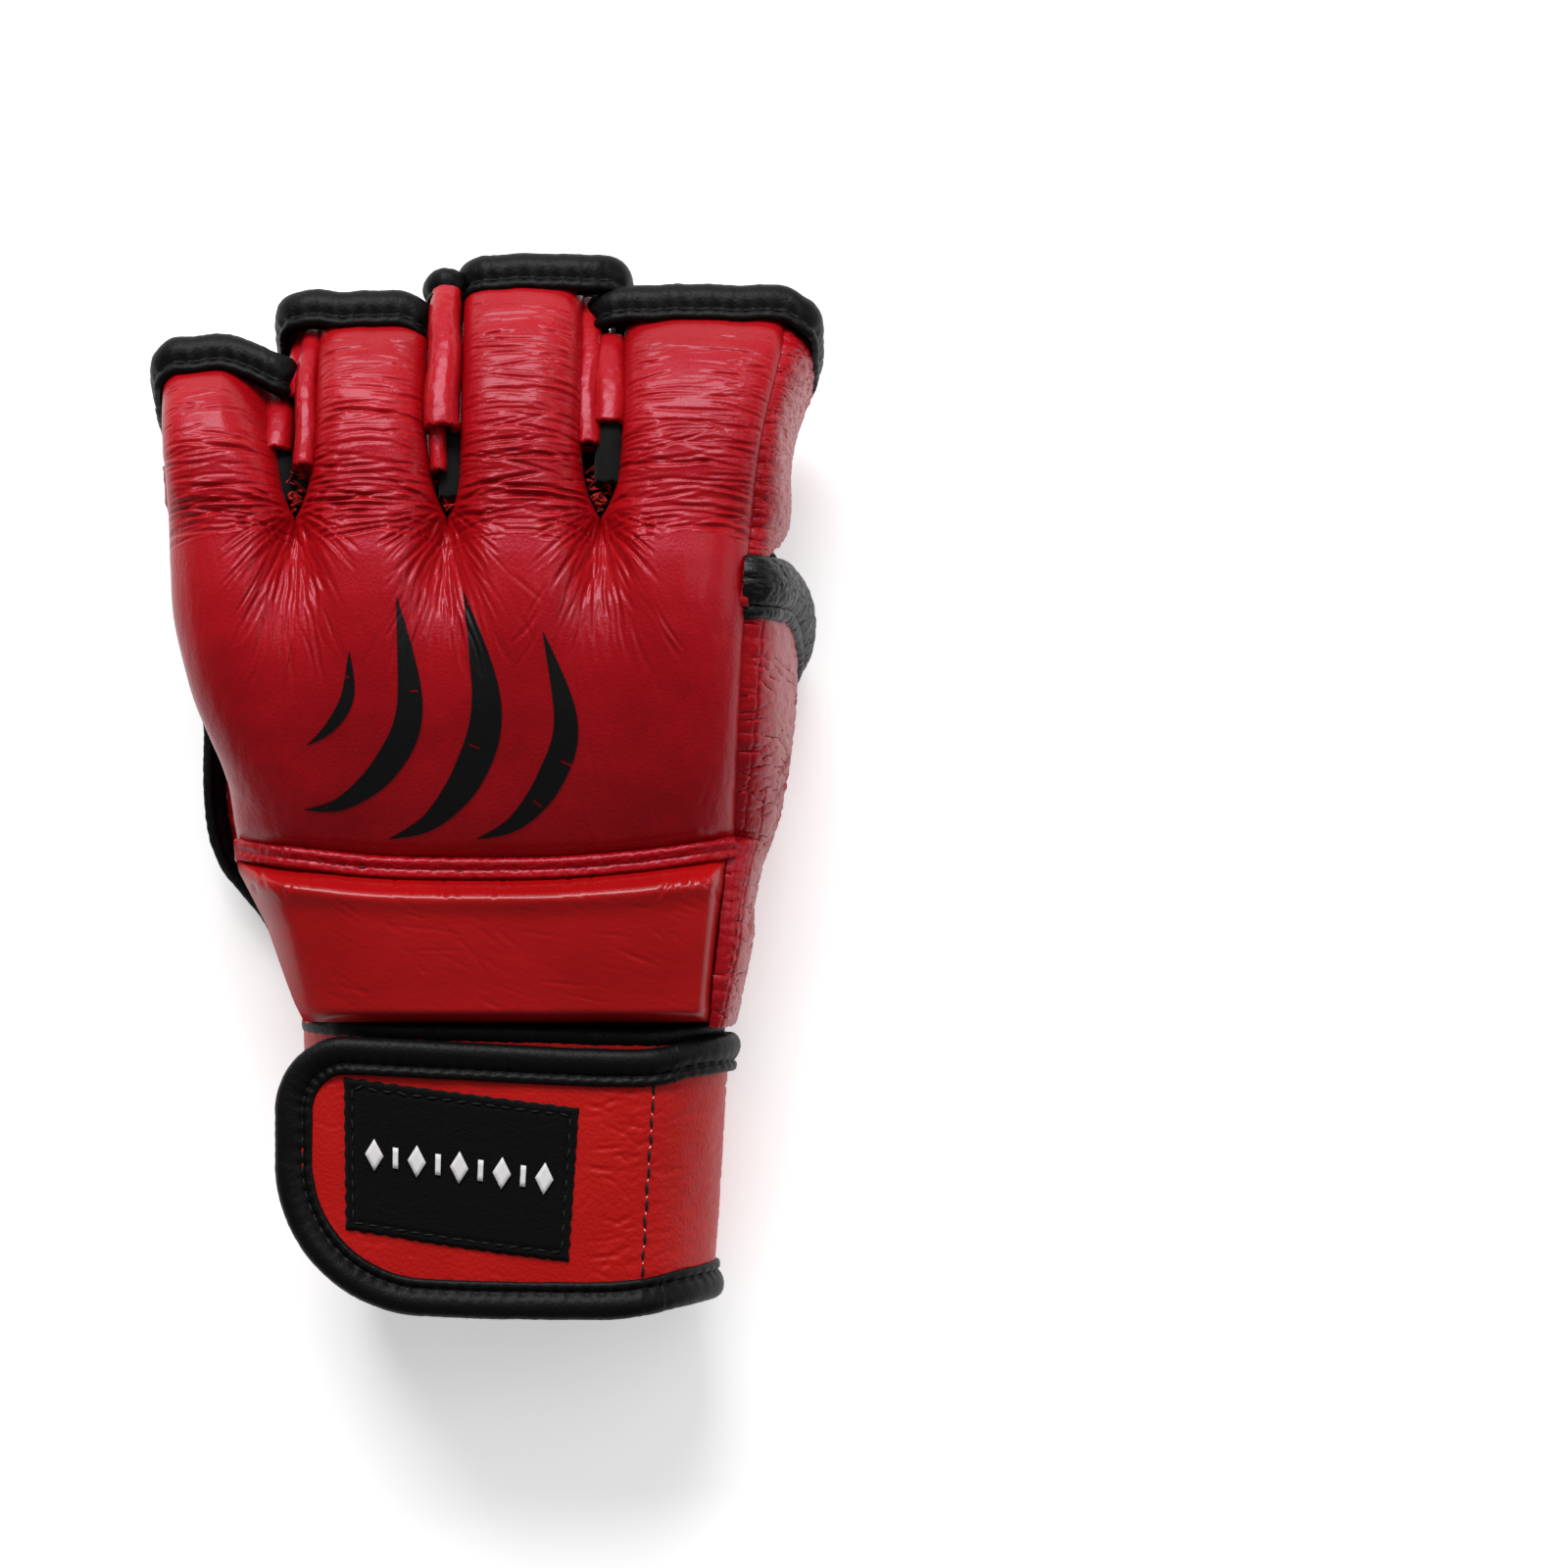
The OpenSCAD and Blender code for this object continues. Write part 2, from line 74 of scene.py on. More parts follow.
def arc_lengths(path):
    """Distance along a path at each of its points."""
    return np.concatenate([[0], np.cumsum(np.linalg.norm(np.diff(path, axis=0), axis=1))])


def catmull(points, steps=16, closed=False):
    """Dense smooth curve through points."""
    p = np.array(points, float)
    n = len(p)
    out = []
    for i in range(n if closed else n - 1):
        a, b, c, d = (p[(i + k) % n] if closed else p[min(max(i + k, 0), n - 1)] for k in (-1, 0, 1, 2))
        t = np.linspace(0, 1, steps, endpoint=False)[:, None]
        out.append(b + 0.5 * t * (c - a + t * (2 * a - 5 * b + 4 * c - d + t * (3 * (b - c) + d - a))))
    if not closed:
        out.append(p[-1:])
    return np.concatenate(out)


def table(pairs):
    """Smooth function through (y, value) pairs."""
    d = catmull(pairs, 12)
    order = np.argsort(d[:, 0])
    ys, vs = d[order, 0], d[order, 1]
    return lambda y: np.interp(y, ys, vs)


def resample(path, step, closed=False):
    p = np.array(path, float)
    if closed:
        p = np.vstack([p, p[:1]])
    s = arc_lengths(p)
    n = max(4, int(round(s[-1] / step)) + 1)
    q = np.linspace(0, s[-1], n)
    out = np.stack([np.interp(q, s, p[:, i]) for i in range(p.shape[1])], 1)
    return out[:-1] if closed else out


PERMUTATION = np.random.default_rng(5).permutation(256)
PERMUTATION = np.concatenate([PERMUTATION, PERMUTATION])
GRADIENTS = unit(np.random.default_rng(6).normal(size=(256, 3)))


def perlin(p):
    i = np.floor(p).astype(int)
    f = p - i
    i &= 255
    u = f ** 3 * (f * (f * 6 - 15) + 10)

    def corner(a, b, c):
        hashed = PERMUTATION[PERMUTATION[PERMUTATION[i[..., 0] + a] + i[..., 1] + b] + i[..., 2] + c]
        g = GRADIENTS[hashed]
        return g[..., 0] * (f[..., 0] - a) + g[..., 1] * (f[..., 1] - b) + g[..., 2] * (f[..., 2] - c)

    x0 = [mix(corner(0, b, c), corner(1, b, c), u[..., 0]) for c in (0, 1) for b in (0, 1)]
    return mix(mix(x0[0], x0[1], u[..., 1]), mix(x0[2], x0[3], u[..., 1]), u[..., 2])


def fbm(p, octaves=3):
    total, size = 0, 1.0
    for k in range(octaves):
        total = total + perlin(p * 2 ** k + 17.3 * k) * size
        size *= 0.5
    return total


def creases(x, v, strokes):
    """Depth of many crease strokes: centre x, v, angle, half length, width, depth, curvature."""
    out = np.zeros(x.shape)
    for cx, cv, angle, half, width, depth, bend in strokes:
        near = (np.abs(x - cx) < half + 5 * width) & (np.abs(v - cv) < half + 5 * width)
        if not near.any():
            continue
        dx, dv = x[near] - cx, v[near] - cv
        p = dx * math.cos(angle) + dv * math.sin(angle)
        q = (-dx * math.sin(angle) + dv * math.cos(angle) - bend * p * p) / width
        taper = np.clip(1 - (p / half) ** 2, 0, 1)
        out[near] += depth * taper * (0.28 * np.exp(-((np.abs(q) - 2.0) / 1.0) ** 2) - np.exp(-q * q))
    return out


def scatter(local, count, x, v, angle, half, width, depth, bend=0.0):
    """Random crease strokes: ranges are (low, high), angle and bend (mean, spread), plain numbers fixed."""
    def pick(value, draw):
        return draw(*value) if isinstance(value, tuple) else value

    return [(pick(x, local.uniform), pick(v, local.uniform), pick(angle, local.normal),
             pick(half, local.uniform), pick(width, local.uniform), pick(depth, local.uniform),
             pick(bend, local.normal)) for _ in range(count)]


# ---------------------------------------- materials


def node_material(name, color, rough, coat=0.0, coat_rough=0.3, sheen=0.0, bump=(), spots=None, spec=0.5,
                  tint=(1, 1, 1)):
    """Principled material; bump is a list of (kind, scale per metre, strength, distance in mm)."""
    m = bpy.data.materials.new(name)
    m.use_nodes = True
    nt = m.node_tree
    b = nt.nodes["Principled BSDF"]
    b.inputs["Base Color"].default_value = (*color, 1)
    b.inputs["Roughness"].default_value = rough
    b.inputs["Specular IOR Level"].default_value = spec
    b.inputs["Specular Tint"].default_value = (*tint, 1)
    b.inputs["Coat Weight"].default_value = coat
    b.inputs["Coat Roughness"].default_value = coat_rough
    b.inputs["Sheen Weight"].default_value = sheen
    b.inputs["Sheen Roughness"].default_value = 0.5
    coords = nt.nodes.new("ShaderNodeTexCoord")
    if spots:
        scale, dark, light = spots
        n = nt.nodes.new("ShaderNodeTexNoise")
        n.inputs["Scale"].default_value = scale
        n.inputs["Detail"].default_value = 5
        nt.links.new(coords.outputs["Object"], n.inputs["Vector"])
        ramp = nt.nodes.new("ShaderNodeValToRGB")
        ramp.color_ramp.elements[0].position = 0.3
        ramp.color_ramp.elements[1].position = 0.7
        ramp.color_ramp.elements[0].color = (*dark, 1)
        ramp.color_ramp.elements[1].color = (*light, 1)
        nt.links.new(n.outputs["Fac"], ramp.inputs["Fac"])
        nt.links.new(ramp.outputs["Color"], b.inputs["Base Color"])
    last = None
    for kind, scale, strength, distance in bump:
        if kind == "cells":
            t = nt.nodes.new("ShaderNodeTexVoronoi")
            t.feature = "SMOOTH_F1"
            t.inputs["Smoothness"].default_value = 0.6
            out = t.outputs["Distance"]
        elif kind == "weave":
            t = nt.nodes.new("ShaderNodeTexWave")
            t.inputs["Distortion"].default_value = 1.5
            t.inputs["Detail"].default_value = 2
            out = t.outputs["Fac"]
        else:
            t = nt.nodes.new("ShaderNodeTexNoise")
            t.inputs["Detail"].default_value = 6
            t.inputs["Roughness"].default_value = 0.6
            out = t.outputs["Fac"]
        vec = coords.outputs["Object"]
        if kind == "along":
            mp = nt.nodes.new("ShaderNodeMapping")
            mp.inputs["Scale"].default_value = (1.0, 0.28, 0.6)
            nt.links.new(vec, mp.inputs["Vector"])
            vec = mp.outputs["Vector"]
        t.inputs["Scale"].default_value = scale
        nt.links.new(vec, t.inputs["Vector"])
        k = nt.nodes.new("ShaderNodeBump")
        k.inputs["Strength"].default_value = strength
        k.inputs["Distance"].default_value = distance * MM
        if kind == "cells":
            k.invert = True
        nt.links.new(out, k.inputs["Height"])
        if last:
            nt.links.new(last.outputs["Normal"], k.inputs["Normal"])
        last = k
    if last:
        nt.links.new(last.outputs["Normal"], b.inputs["Normal"])
    return m


RED = node_material("red_leather", (0.33, 0.002, 0.005), 0.38, 0.16, 0.20, spec=0.20, tint=(1.0, 0.50, 0.80),
                    bump=[("along", 520, 0.55, 0.35), ("cells", 1500, 0.5, 0.12),
                          ("noise", 2600, 0.3, 0.06)],
                    spots=(45, (0.27, 0.0015, 0.0035), (0.34, 0.003, 0.006)))
RED_PAD = node_material("red_pad_leather", (0.32, 0.002, 0.005), 0.36, 0.14, 0.20, spec=0.22,
                        tint=(1.0, 0.50, 0.80),
                        bump=[("along", 480, 0.4, 0.3), ("cells", 1300, 0.5, 0.12),
                              ("noise", 2400, 0.25, 0.06)],
                        spots=(38, (0.30, 0.002, 0.005), (0.36, 0.004, 0.007)))
RED_STRAP = node_material("red_strap_leather", (0.38, 0.004, 0.003), 0.46, 0.03, 0.35, spec=0.26,
                          tint=(1.0, 0.60, 0.60),
                          bump=[("cells", 1250, 0.6, 0.14), ("noise", 2200, 0.3, 0.08)],
                          spots=(40, (0.35, 0.003, 0.002), (0.41, 0.005, 0.004)))
RED_GLOSS = node_material("red_back_leather", (0.30, 0.002, 0.002), 0.42, 0.40, 0.20, spec=0.10,
                          tint=(1.0, 0.60, 0.72),
                          bump=[("along", 500, 0.3, 0.25), ("cells", 1300, 0.4, 0.10),
                                ("noise", 2400, 0.25, 0.06)],
                          spots=(38, (0.27, 0.0015, 0.002), (0.33, 0.003, 0.004)))
FRAY = node_material("frayed_leather", (0.30, 0.012, 0.010), 0.6, bump=[("noise", 2500, 0.6, 0.15)],
                     spec=0.15)
BLACK = node_material("black_binding", (0.0022, 0.0022, 0.0025), 0.46, 0.0, 0.4,
                      bump=[("cells", 1500, 0.5, 0.12), ("noise", 900, 0.35, 0.15)], spec=0.11)
BLACK_SOFT = node_material("black_thumb_roll", (0.0025, 0.0025, 0.003), 0.36, 0.0, 0.3,
                           bump=[("cells", 1500, 0.4, 0.10), ("noise", 700, 0.5, 0.3)], spec=0.2)
LINING = node_material("black_lining", (0.003, 0.003, 0.0035), 0.92, sheen=0.03,
                       bump=[("noise", 3200, 0.7, 0.15)], spec=0.2)
FUZZ = node_material("black_pile", (0.0025, 0.0025, 0.003), 0.95, sheen=0.03,
                     bump=[("noise", 2600, 1.0, 0.4), ("cells", 3000, 0.8, 0.25)], spec=0.08)
INK = node_material("emblem_film", (0.003, 0.003, 0.0035), 0.42, 0.0, 0.3,
                    bump=[("cells", 1400, 0.35, 0.08)], spec=0.22)
THREAD_BLACK = node_material("thread_black", (0.004, 0.004, 0.0045), 0.6, bump=[("weave", 1800, 0.4, 0.08)],
                             spec=0.25)
THREAD_RED = node_material("thread_red", (0.13, 0.002, 0.003), 0.55, bump=[("weave", 1800, 0.4, 0.08)])
# white of the label's woven mark; the same white, as tiny specks between the cross stitches, is painted
# highlight
WHITE_THREAD_AND_HIGHLIGHT = node_material("white_thread_and_painted_highlight", (0.72, 0.70, 0.70), 0.7, bump=[("weave", 2600, 0.5, 0.1)])

# ---------------------------------------- meshes


def new_object(name, verts, faces, material, normals=None, flat=False):
    me = bpy.data.meshes.new(name)
    v = np.ascontiguousarray(np.array(verts, float).reshape(-1, 3) * MM)
    f = np.array(faces, np.int32)
    me.vertices.add(len(v))
    me.vertices.foreach_set("co", v.ravel())
    me.loops.add(f.size)
    me.loops.foreach_set("vertex_index", f.ravel())
    me.polygons.add(len(f))
    me.polygons.foreach_set("loop_start", np.arange(0, f.size, f.shape[1], dtype=np.int32))
    me.update(calc_edges=True)
    me.validate()
    me.polygons.foreach_set("use_smooth", [not flat] * len(me.polygons))
    me.materials.append(material)
    if normals is not None:
        me.normals_split_custom_set_from_vertices(np.array(normals, float).reshape(-1, 3).tolist())
    o = bpy.data.objects.new(name, me)
    bpy.context.scene.collection.objects.link(o)
    return o


def grid_faces(n, m, wrap=False, start=0):
    i, j = np.meshgrid(np.arange(n - 1), np.arange(m if wrap else m - 1), indexing="ij")
    k = (j + 1) % m
    return np.stack([i * m + j, i * m + k, (i + 1) * m + k, (i + 1) * m + j], -1).reshape(-1, 4) + start


def weld(o):
    """Join vertices that lie on top of one another."""
    bm = bmesh.new()
    bm.from_mesh(o.data)
    bmesh.ops.remove_doubles(bm, verts=bm.verts, dist=2e-6)
    bm.to_mesh(o.data)
    bm.free()

def thicken(o, thick):
    """Give a surface a solid thickness inwards, in millimetres."""
    solid = o.modifiers.new("thickness", "SOLIDIFY")
    solid.thickness = thick * MM
    solid.offset = -1
def grid(name, p, material, wrap=False, flip=False, normals=None, thick=0.0):
    """Surface from an (n, m, 3) array. flip turns its outside over, thick makes it solid inwards."""
    n, m = p.shape[:2]
    f = grid_faces(n, m, wrap)
    if flip:
        f = f[:, ::-1]
    o = new_object(name, p, f, material, normals)
    if thick:
        if not wrap:
            rim = np.zeros((n, m), bool)
            rim[[0, -1]] = rim[:, [0, -1]] = True
            ends = np.zeros(len(o.data.edges) * 2, np.int32)
            o.data.edges.foreach_get("vertices", ends)
            sharp = rim.ravel()[ends.reshape(-1, 2)].all(1)
            o.data.attributes.new("sharp_edge", "BOOLEAN", "EDGE").data.foreach_set("value", sharp)
        thicken(o, thick)
    return o


def surface_normals(p, wrap=False):
    du = np.gradient(p, axis=0)
    dv = (np.roll(p, -1, 1) - np.roll(p, 1, 1)) / 2 if wrap else np.gradient(p, axis=1)
    return unit(np.cross(dv, du))


def stitch_and_highlight_capsules(name, points, along, up, material, length=2.6, d=0.55, sink=0.1, jitter=0.06):
    """Row of stitches: short thread capsules lying on a surface; short white ones are also laid between
    stitches as specks of painted highlight.
    """
    points, along, up = np.array(points), unit(np.array(along)), unit(np.array(up))
    side = unit(np.cross(along, up))
    rings, sides = 5, 6
    t = np.linspace(-1, 1, rings)
    fat = np.sqrt(np.clip(1 - t ** 4, 0.02, 1)) * d / 2
    arch = (1 - t * t) * 0.35 * d - sink
    a = np.linspace(0, 2 * math.pi, sides, endpoint=False)
    verts, faces = [], []
    ring_faces = grid_faces(rings, sides, True)
    ends = np.array([[0, 1, 2, 3], [0, 3, 4, 5]])
    local = np.random.default_rng(len(points) + 3)
    for k in range(len(points)):
        turn = local.normal(0, jitter)
        fwd = along[k] * math.cos(turn) + side[k] * math.sin(turn)
        sd = side[k] * math.cos(turn) - along[k] * math.sin(turn)
        half = length / 2 * local.uniform(0.9, 1.08)
        c = points[k] + t[:, None] * half * fwd + arch[:, None] * up[k]
        spoke = np.cos(a)[None, :, None] * sd + np.sin(a)[None, :, None] * up[k]
        ring = c[:, None] + fat[:, None, None] * spoke
        o = k * rings * sides
        verts.append(ring.reshape(-1, 3))
        faces.append(ring_faces + o)
        faces.append(ends[:, ::-1] + o)
        faces.append(ends + o + (rings - 1) * sides)
    return new_object(name, np.concatenate(verts), np.concatenate(faces)[:, ::-1], material)


def along_path(path, step, closed=False):
    """Points and directions along a path at even spacing."""
    q = resample(path, step, closed)
    d = np.roll(q, -1, 0) - np.roll(q, 1, 0) if closed else np.gradient(q, axis=0)
    return q, unit(d)


# Profile of a folded binding: o is outwards past the edge, u is out of the face; both in mm
BINDING = np.array([
    (-6.6, -0.1), (-6.6, 0.55), (-6.3, 0.95), (-5.6, 1.12), (-4.9, 1.02), (-4.35, 0.62), (-4.05, 0.42),
    (-3.75, 0.72), (-3.3, 1.25), (-2.6, 1.75), (-1.7, 2.0), (-0.8, 1.9), (-0.05, 1.45), (0.4, 0.75),
    (0.55, -0.1), (0.4, -1.1), (-0.05, -1.9), (-0.8, -2.35), (-1.7, -2.5), (-2.6, -2.3), (-3.4, -1.8),
    (-4.05, -1.35), (-4.9, -1.6), (-5.8, -1.65), (-6.4, -1.45), (-6.6, -0.9),
])


GROOVE = 4.7            # from the edge back to the row of stitches
FLATTEN = 0.9           # pressed thickness of the fold
STITCH_STEP = 3.2
STITCH_LENGTH = 2.3


def bound_edge(name, path, outward, up, scale=1.0, closed=False, pucker=0.22, seed=0.0):
    """Folded and stitched binding swept along the edge of a piece. Returns the band and its stitches."""
    path, outward, up = np.array(path), unit(np.array(outward)), unit(np.array(up))
    moved = np.interp(BINDING[:, 0], [-6.6, -4.05, 0.55], [-6.6, -GROOVE, 0.55])
    profile = np.stack([moved, BINDING[:, 1] * FLATTEN], 1) * scale
    sideways, raised = profile[None, :, 0, None], profile[None, :, 1, None]
    p = path[:, None] + sideways * outward[:, None] + raised * up[:, None]
    arc = arc_lengths(path)
    total = arc[-1] + (np.linalg.norm(path[0] - path[-1]) if closed else 0)
    # wrinkles run across the band, and close up on themselves on a closed one
    q = np.zeros(p.shape)
    if closed:
        turn = arc / total * 2 * math.pi
        radius = total / 2 / math.pi
        q[..., 0] = (np.cos(turn) * radius)[:, None]
        q[..., 1] = (np.sin(turn) * radius)[:, None]
    else:
        q[..., 0] = arc[:, None]
    q[..., 2] = arc_lengths(profile)[None, :] * 0.22 + seed
    ridge = np.abs(perlin(q * 0.42 + seed)) * 2.2 - 0.6 + 0.5 * perlin(q * 0.9 + 9)
    lump = perlin(q * 0.16 + 3)
    stitch = np.cos(2 * math.pi * arc / STITCH_STEP)
    from_groove = profile[:, 0] / scale + GROOVE
    soft = np.where(np.abs(from_groove) < 0.6, 0.35, 1.0)
    dent = np.exp(-(from_groove / 0.9) ** 2)
    rise = pucker * ridge * soft + 0.13 * scale * lump + 0.16 * scale * dent[None] * stitch[:, None]
    p = p + surface_normals(p) * rise[..., None]
    if closed:
        faces = grid_faces(len(path) + 1, len(profile)) % (len(path) * len(profile))
        band = new_object(name, p, faces, BLACK)
    else:
        # close both ends of the band
        first, last = p[0].mean(0), p[-1].mean(0)
        first_cap = mix(p[0], first, 0.55) - (p[1].mean(0) - first) * 0.3
        last_cap = mix(p[-1], last, 0.55) + (last - p[-2].mean(0)) * 0.3
        first_tip, last_tip = (np.repeat(tip[None], len(profile), 0) for tip in (first, last))
        p = np.concatenate([first_tip[None], first_cap[None], p, last_cap[None], last_tip[None]])
        band = new_object(name, p, grid_faces(len(p), len(profile), True), BLACK)
    places = np.arange(STITCH_STEP / 2, total if closed else total - STITCH_STEP / 2, STITCH_STEP)

    def pick(values):
        return np.stack([np.interp(places, arc, values[:, i]) for i in range(3)], 1)

    points = pick(path) - GROOVE * scale * pick(outward) + 0.42 * FLATTEN * scale * pick(up)
    stitches = stitch_and_highlight_capsules(name + "_stitches", points, pick(np.gradient(path, axis=0)), pick(up), THREAD_BLACK,
                       STITCH_LENGTH, 0.46)
    return band, stitches


def place(o, body=None, blend=None, replaces=()):
    """Say what a piece moves with and what it stands for."""
    if blend:
        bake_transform(o)
    else:
        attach(o, body)
    if replaces:
        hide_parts(*replaces)


def bind(name, path, outward, up, scale=1.0, body="hand", blend=None, replaces=(), **more):
    """Bound edge whose band and stitches move together."""
    band, stitches = bound_edge(name, path, outward, up, scale, **more)
    place(band, body, blend=blend, replaces=replaces)
    place(stitches, body, blend=blend)


# ---------------------------------------- finger stalls: the same arcs as the CAD

KNUCKLE_WIDTH, KNUCKLE_MID = 120.0, 1.5
Y_STALL, Z_STALL = 58.37, 35.5
LONGEST, CURL, BASE_TILT = 47.0, 38.0, 8.0
FINGERS = ["little", "ring", "middle", "index"]
SHARE = {"little": (-0.592, -0.357, 0.60), "ring": (-0.357, -0.098, 0.81),
         "middle": (-0.098, 0.196, 1.00), "index": (0.196, 0.570, 0.83)}     # left, right, length
ARC = math.radians(CURL - BASE_TILT)


class Stall:
    """One finger's tube, bent along an arc from the flex groove to its mouth."""

    def __init__(self, name):
        a, b, share = SHARE[name]
        self.name = name
        self.left, self.right = KNUCKLE_MID + a * KNUCKLE_WIDTH + 0.3, KNUCKLE_MID + b * KNUCKLE_WIDTH - 0.3
        self.mid, self.w = (self.left + self.right) / 2, self.right - self.left
        self.length = LONGEST * share
        self.r = self.length / ARC
        self.body = name + "_stall"
        self.bind = self.length - 9.5         # where the binding begins, along the arc
        self.top0, self.top1 = 20.0, 14.2     # height of the lobe's crest over the middle line

    def at(self, arc, x, h):
        """Point on the stall: arc length from the groove, x across, h above the middle line."""
        a = np.radians(BASE_TILT) + ARC * np.asarray(arc, float) / self.length
        b = math.radians(BASE_TILT)
        y = Y_STALL + self.r * (np.sin(a) - math.sin(b)) + h * np.sin(a)
        z = Z_STALL - self.r * (math.cos(b) - np.cos(a)) + h * np.cos(a)
        return xyz(self.mid + x, y, z)

    def axis(self, arc):
        a = np.radians(BASE_TILT) + ARC * np.asarray(arc, float) / self.length
        return xyz(0 * a, np.cos(a), -np.sin(a))

    def crest(self, arc):
        t = np.clip(arc / self.bind, 0, 1.3)
        return mix(self.top0, self.top1, t * t * 0.9 + 0.1 * t)

    def blend(self, y0=53.0, y1=60.5):
        return (self.body, (self.mid * MM, y0 * MM, 0.045), (self.mid * MM, y1 * MM, 0.045))


STALLS = [Stall(n) for n in FINGERS]

# ---------------------------------------- leather over the back of the hand and the stalls

HAND_TOP = [(-15.2, 41.0), (-13.8, 42.8), (-10, 45.7), (-4, 49.2), (4, 52.8), (14, 56.2), (26, 58.5),
            (36, 58.9), (44, 58.1), (49, 57.0)]
Y_SLIT = 54.6
V_STEP = 0.33
COLS = 110

out_left = table([(-16, -52.0), (-1, -54.8), (13, -59.6), (31, -63.4), (45, -64.4), (60, -65.2), (75, -66.4),
                  (95, -67.4)])
out_right = table([(-16, 50.6), (-1, 51.2), (20, 52.2), (38, 53.2), (55, 54.4), (73, 56.6), (90, 60.4),
                   (105, 61.5)])
seam_y = table([(-53, -12.6), (-40, -14.2), (-20, -16.2), (10, -16.4), (30, -15.0), (42, -13.4),
                (52, -12.0)])
SLITS = [-39.0, -8.0, 23.2]
SLIT_DRIFT = [0.1, -0.9, 0.2]
SLIT_HALF = [3.6, 3.3, 4.2]


def slit_x(i, y):
    return SLITS[i] + SLIT_DRIFT[i] * np.clip((y - Y_SLIT) / 20, 0, 1)


def slit_half(i, y):
    return SLIT_HALF[i] * (1 - np.exp(-np.clip(y - Y_SLIT, 0, None) / 5.0))


def lobe_edges(k, y):
    """Left and right edge of finger k's leather at y."""
    left = out_left(y) if k == 0 else slit_x(k - 1, y) + slit_half(k - 1, y)
    right = out_right(y) if k == 3 else slit_x(k, y) - slit_half(k, y)
    return left, right


class Spine:
    """Crest line of the leather over one finger, in the y-z plane, by arc length from the welt."""

    def __init__(self, stall):
        arcs = np.linspace(0.12 * stall.length, stall.bind + 2.0, 6)
        top = stall.at(arcs, 0, stall.crest(arcs))[:, 1:]
        line = catmull(HAND_TOP + [(54.5, 55.7)] + [tuple(p) for p in top], 40)
        self.line = line
        self.s = arc_lengths(line)
        d = unit(np.gradient(line, axis=0))
        self.normal = np.stack([-d[:, 1], d[:, 0]], 1)
        self.hand_end = np.interp(48.0, line[:, 0], self.s)
        self.slit = np.interp(Y_SLIT, line[:, 0], self.s)
        self.end = self.s[-1]
        hand = np.arange(0, self.hand_end, V_STEP)
        steps = int((self.end - self.hand_end) / V_STEP) + 1
        self.rows = np.concatenate([hand, np.linspace(self.hand_end, self.end, steps)])

    def at(self, v):
        y, z = np.interp(v, self.s, self.line[:, 0]), np.interp(v, self.s, self.line[:, 1])
        ny, nz = np.interp(v, self.s, self.normal[:, 0]), np.interp(v, self.s, self.normal[:, 1])
        return y, z, ny, nz


SPINES = [Spine(s) for s in STALLS]
V_SLIT = SPINES[2].slit


def wrinkle_strokes():
    """Crease strokes of the leather over the knuckles and the lobes."""
    local = np.random.default_rng(23)
    out = []
    for c in SLITS:
        # folds that fan out from the bottom of each slit, then finer ones straight below it
        for n in range(88):
            phi = math.radians(mix(-112, 112, (n + local.uniform(0.1, 0.9)) / 88))
            start = local.uniform(1.6, 5.0)
            reach = local.uniform(7, 25) * mix(1.1, 0.36, min(1, abs(phi) / 1.3))
            r = start + reach / 2
            angle = math.atan2(-math.cos(phi), math.sin(phi))
            out.append((c + math.sin(phi) * r, V_SLIT + 1.5 - math.cos(phi) * r, angle, reach / 2 + 1,
                        local.uniform(0.24, 0.46), local.uniform(0.16, 0.48), local.normal(0, 0.008)))
        for n in range(80):
            phi = math.radians(local.normal(0, 15))
            r = local.uniform(10, 32)
            angle = math.atan2(-math.cos(phi), math.sin(phi)) + local.normal(0, 0.08)
            out.append((c + math.sin(phi) * r, V_SLIT - math.cos(phi) * r, angle, local.uniform(3, 8),
                        local.uniform(0.28, 0.5), local.uniform(0.08, 0.24), local.normal(0, 0.012)))
    # creases across each lobe, closest together near its root and at its edges
    for k in range(4):
        left, right = lobe_edges(k, 70.0)
        w, mid = right - left, (left + right) / 2
        span = SPINES[k].end - V_SLIT
        for n in range(int(76 * span / 45)):
            share = local.beta(1.1, 1.7)
            cv = V_SLIT - 5 + share * (span - 1)
            cx = mid + local.uniform(-0.5, 0.5) * w
            side = 1 if cx < mid else -1
            fade = 1 - 0.6 * share
            out.append((cx, cv, local.normal(0, 0.07) + side * local.uniform(0, 0.12),
                        local.uniform(0.16, 0.5) * w, local.uniform(0.24, 0.44),
                        local.uniform(0.16, 0.54) * fade, side * local.uniform(-0.002, 0.008)))
        for n in range(int(130 * span / 45)):
            cv = V_SLIT - 6 + local.beta(1.1, 1.5) * span
            side = local.choice([-1, 1])
            cx = mid + side * w * local.uniform(0.20, 0.5)
            out.append((cx, cv, local.normal(0, 0.12) - side * 0.08, local.uniform(1.5, 5.0),
                        local.uniform(0.22, 0.34), local.uniform(0.12, 0.32), local.normal(0, 0.01)))
    # long shallow draws down the knuckle pad
    return out + scatter(local, 60, (-60, 52), (6, 44), (math.pi / 2, 0.16), (3, 9), (0.4, 0.7),
                         (0.03, 0.08), (0, 0.01))


STROKES = wrinkle_strokes()


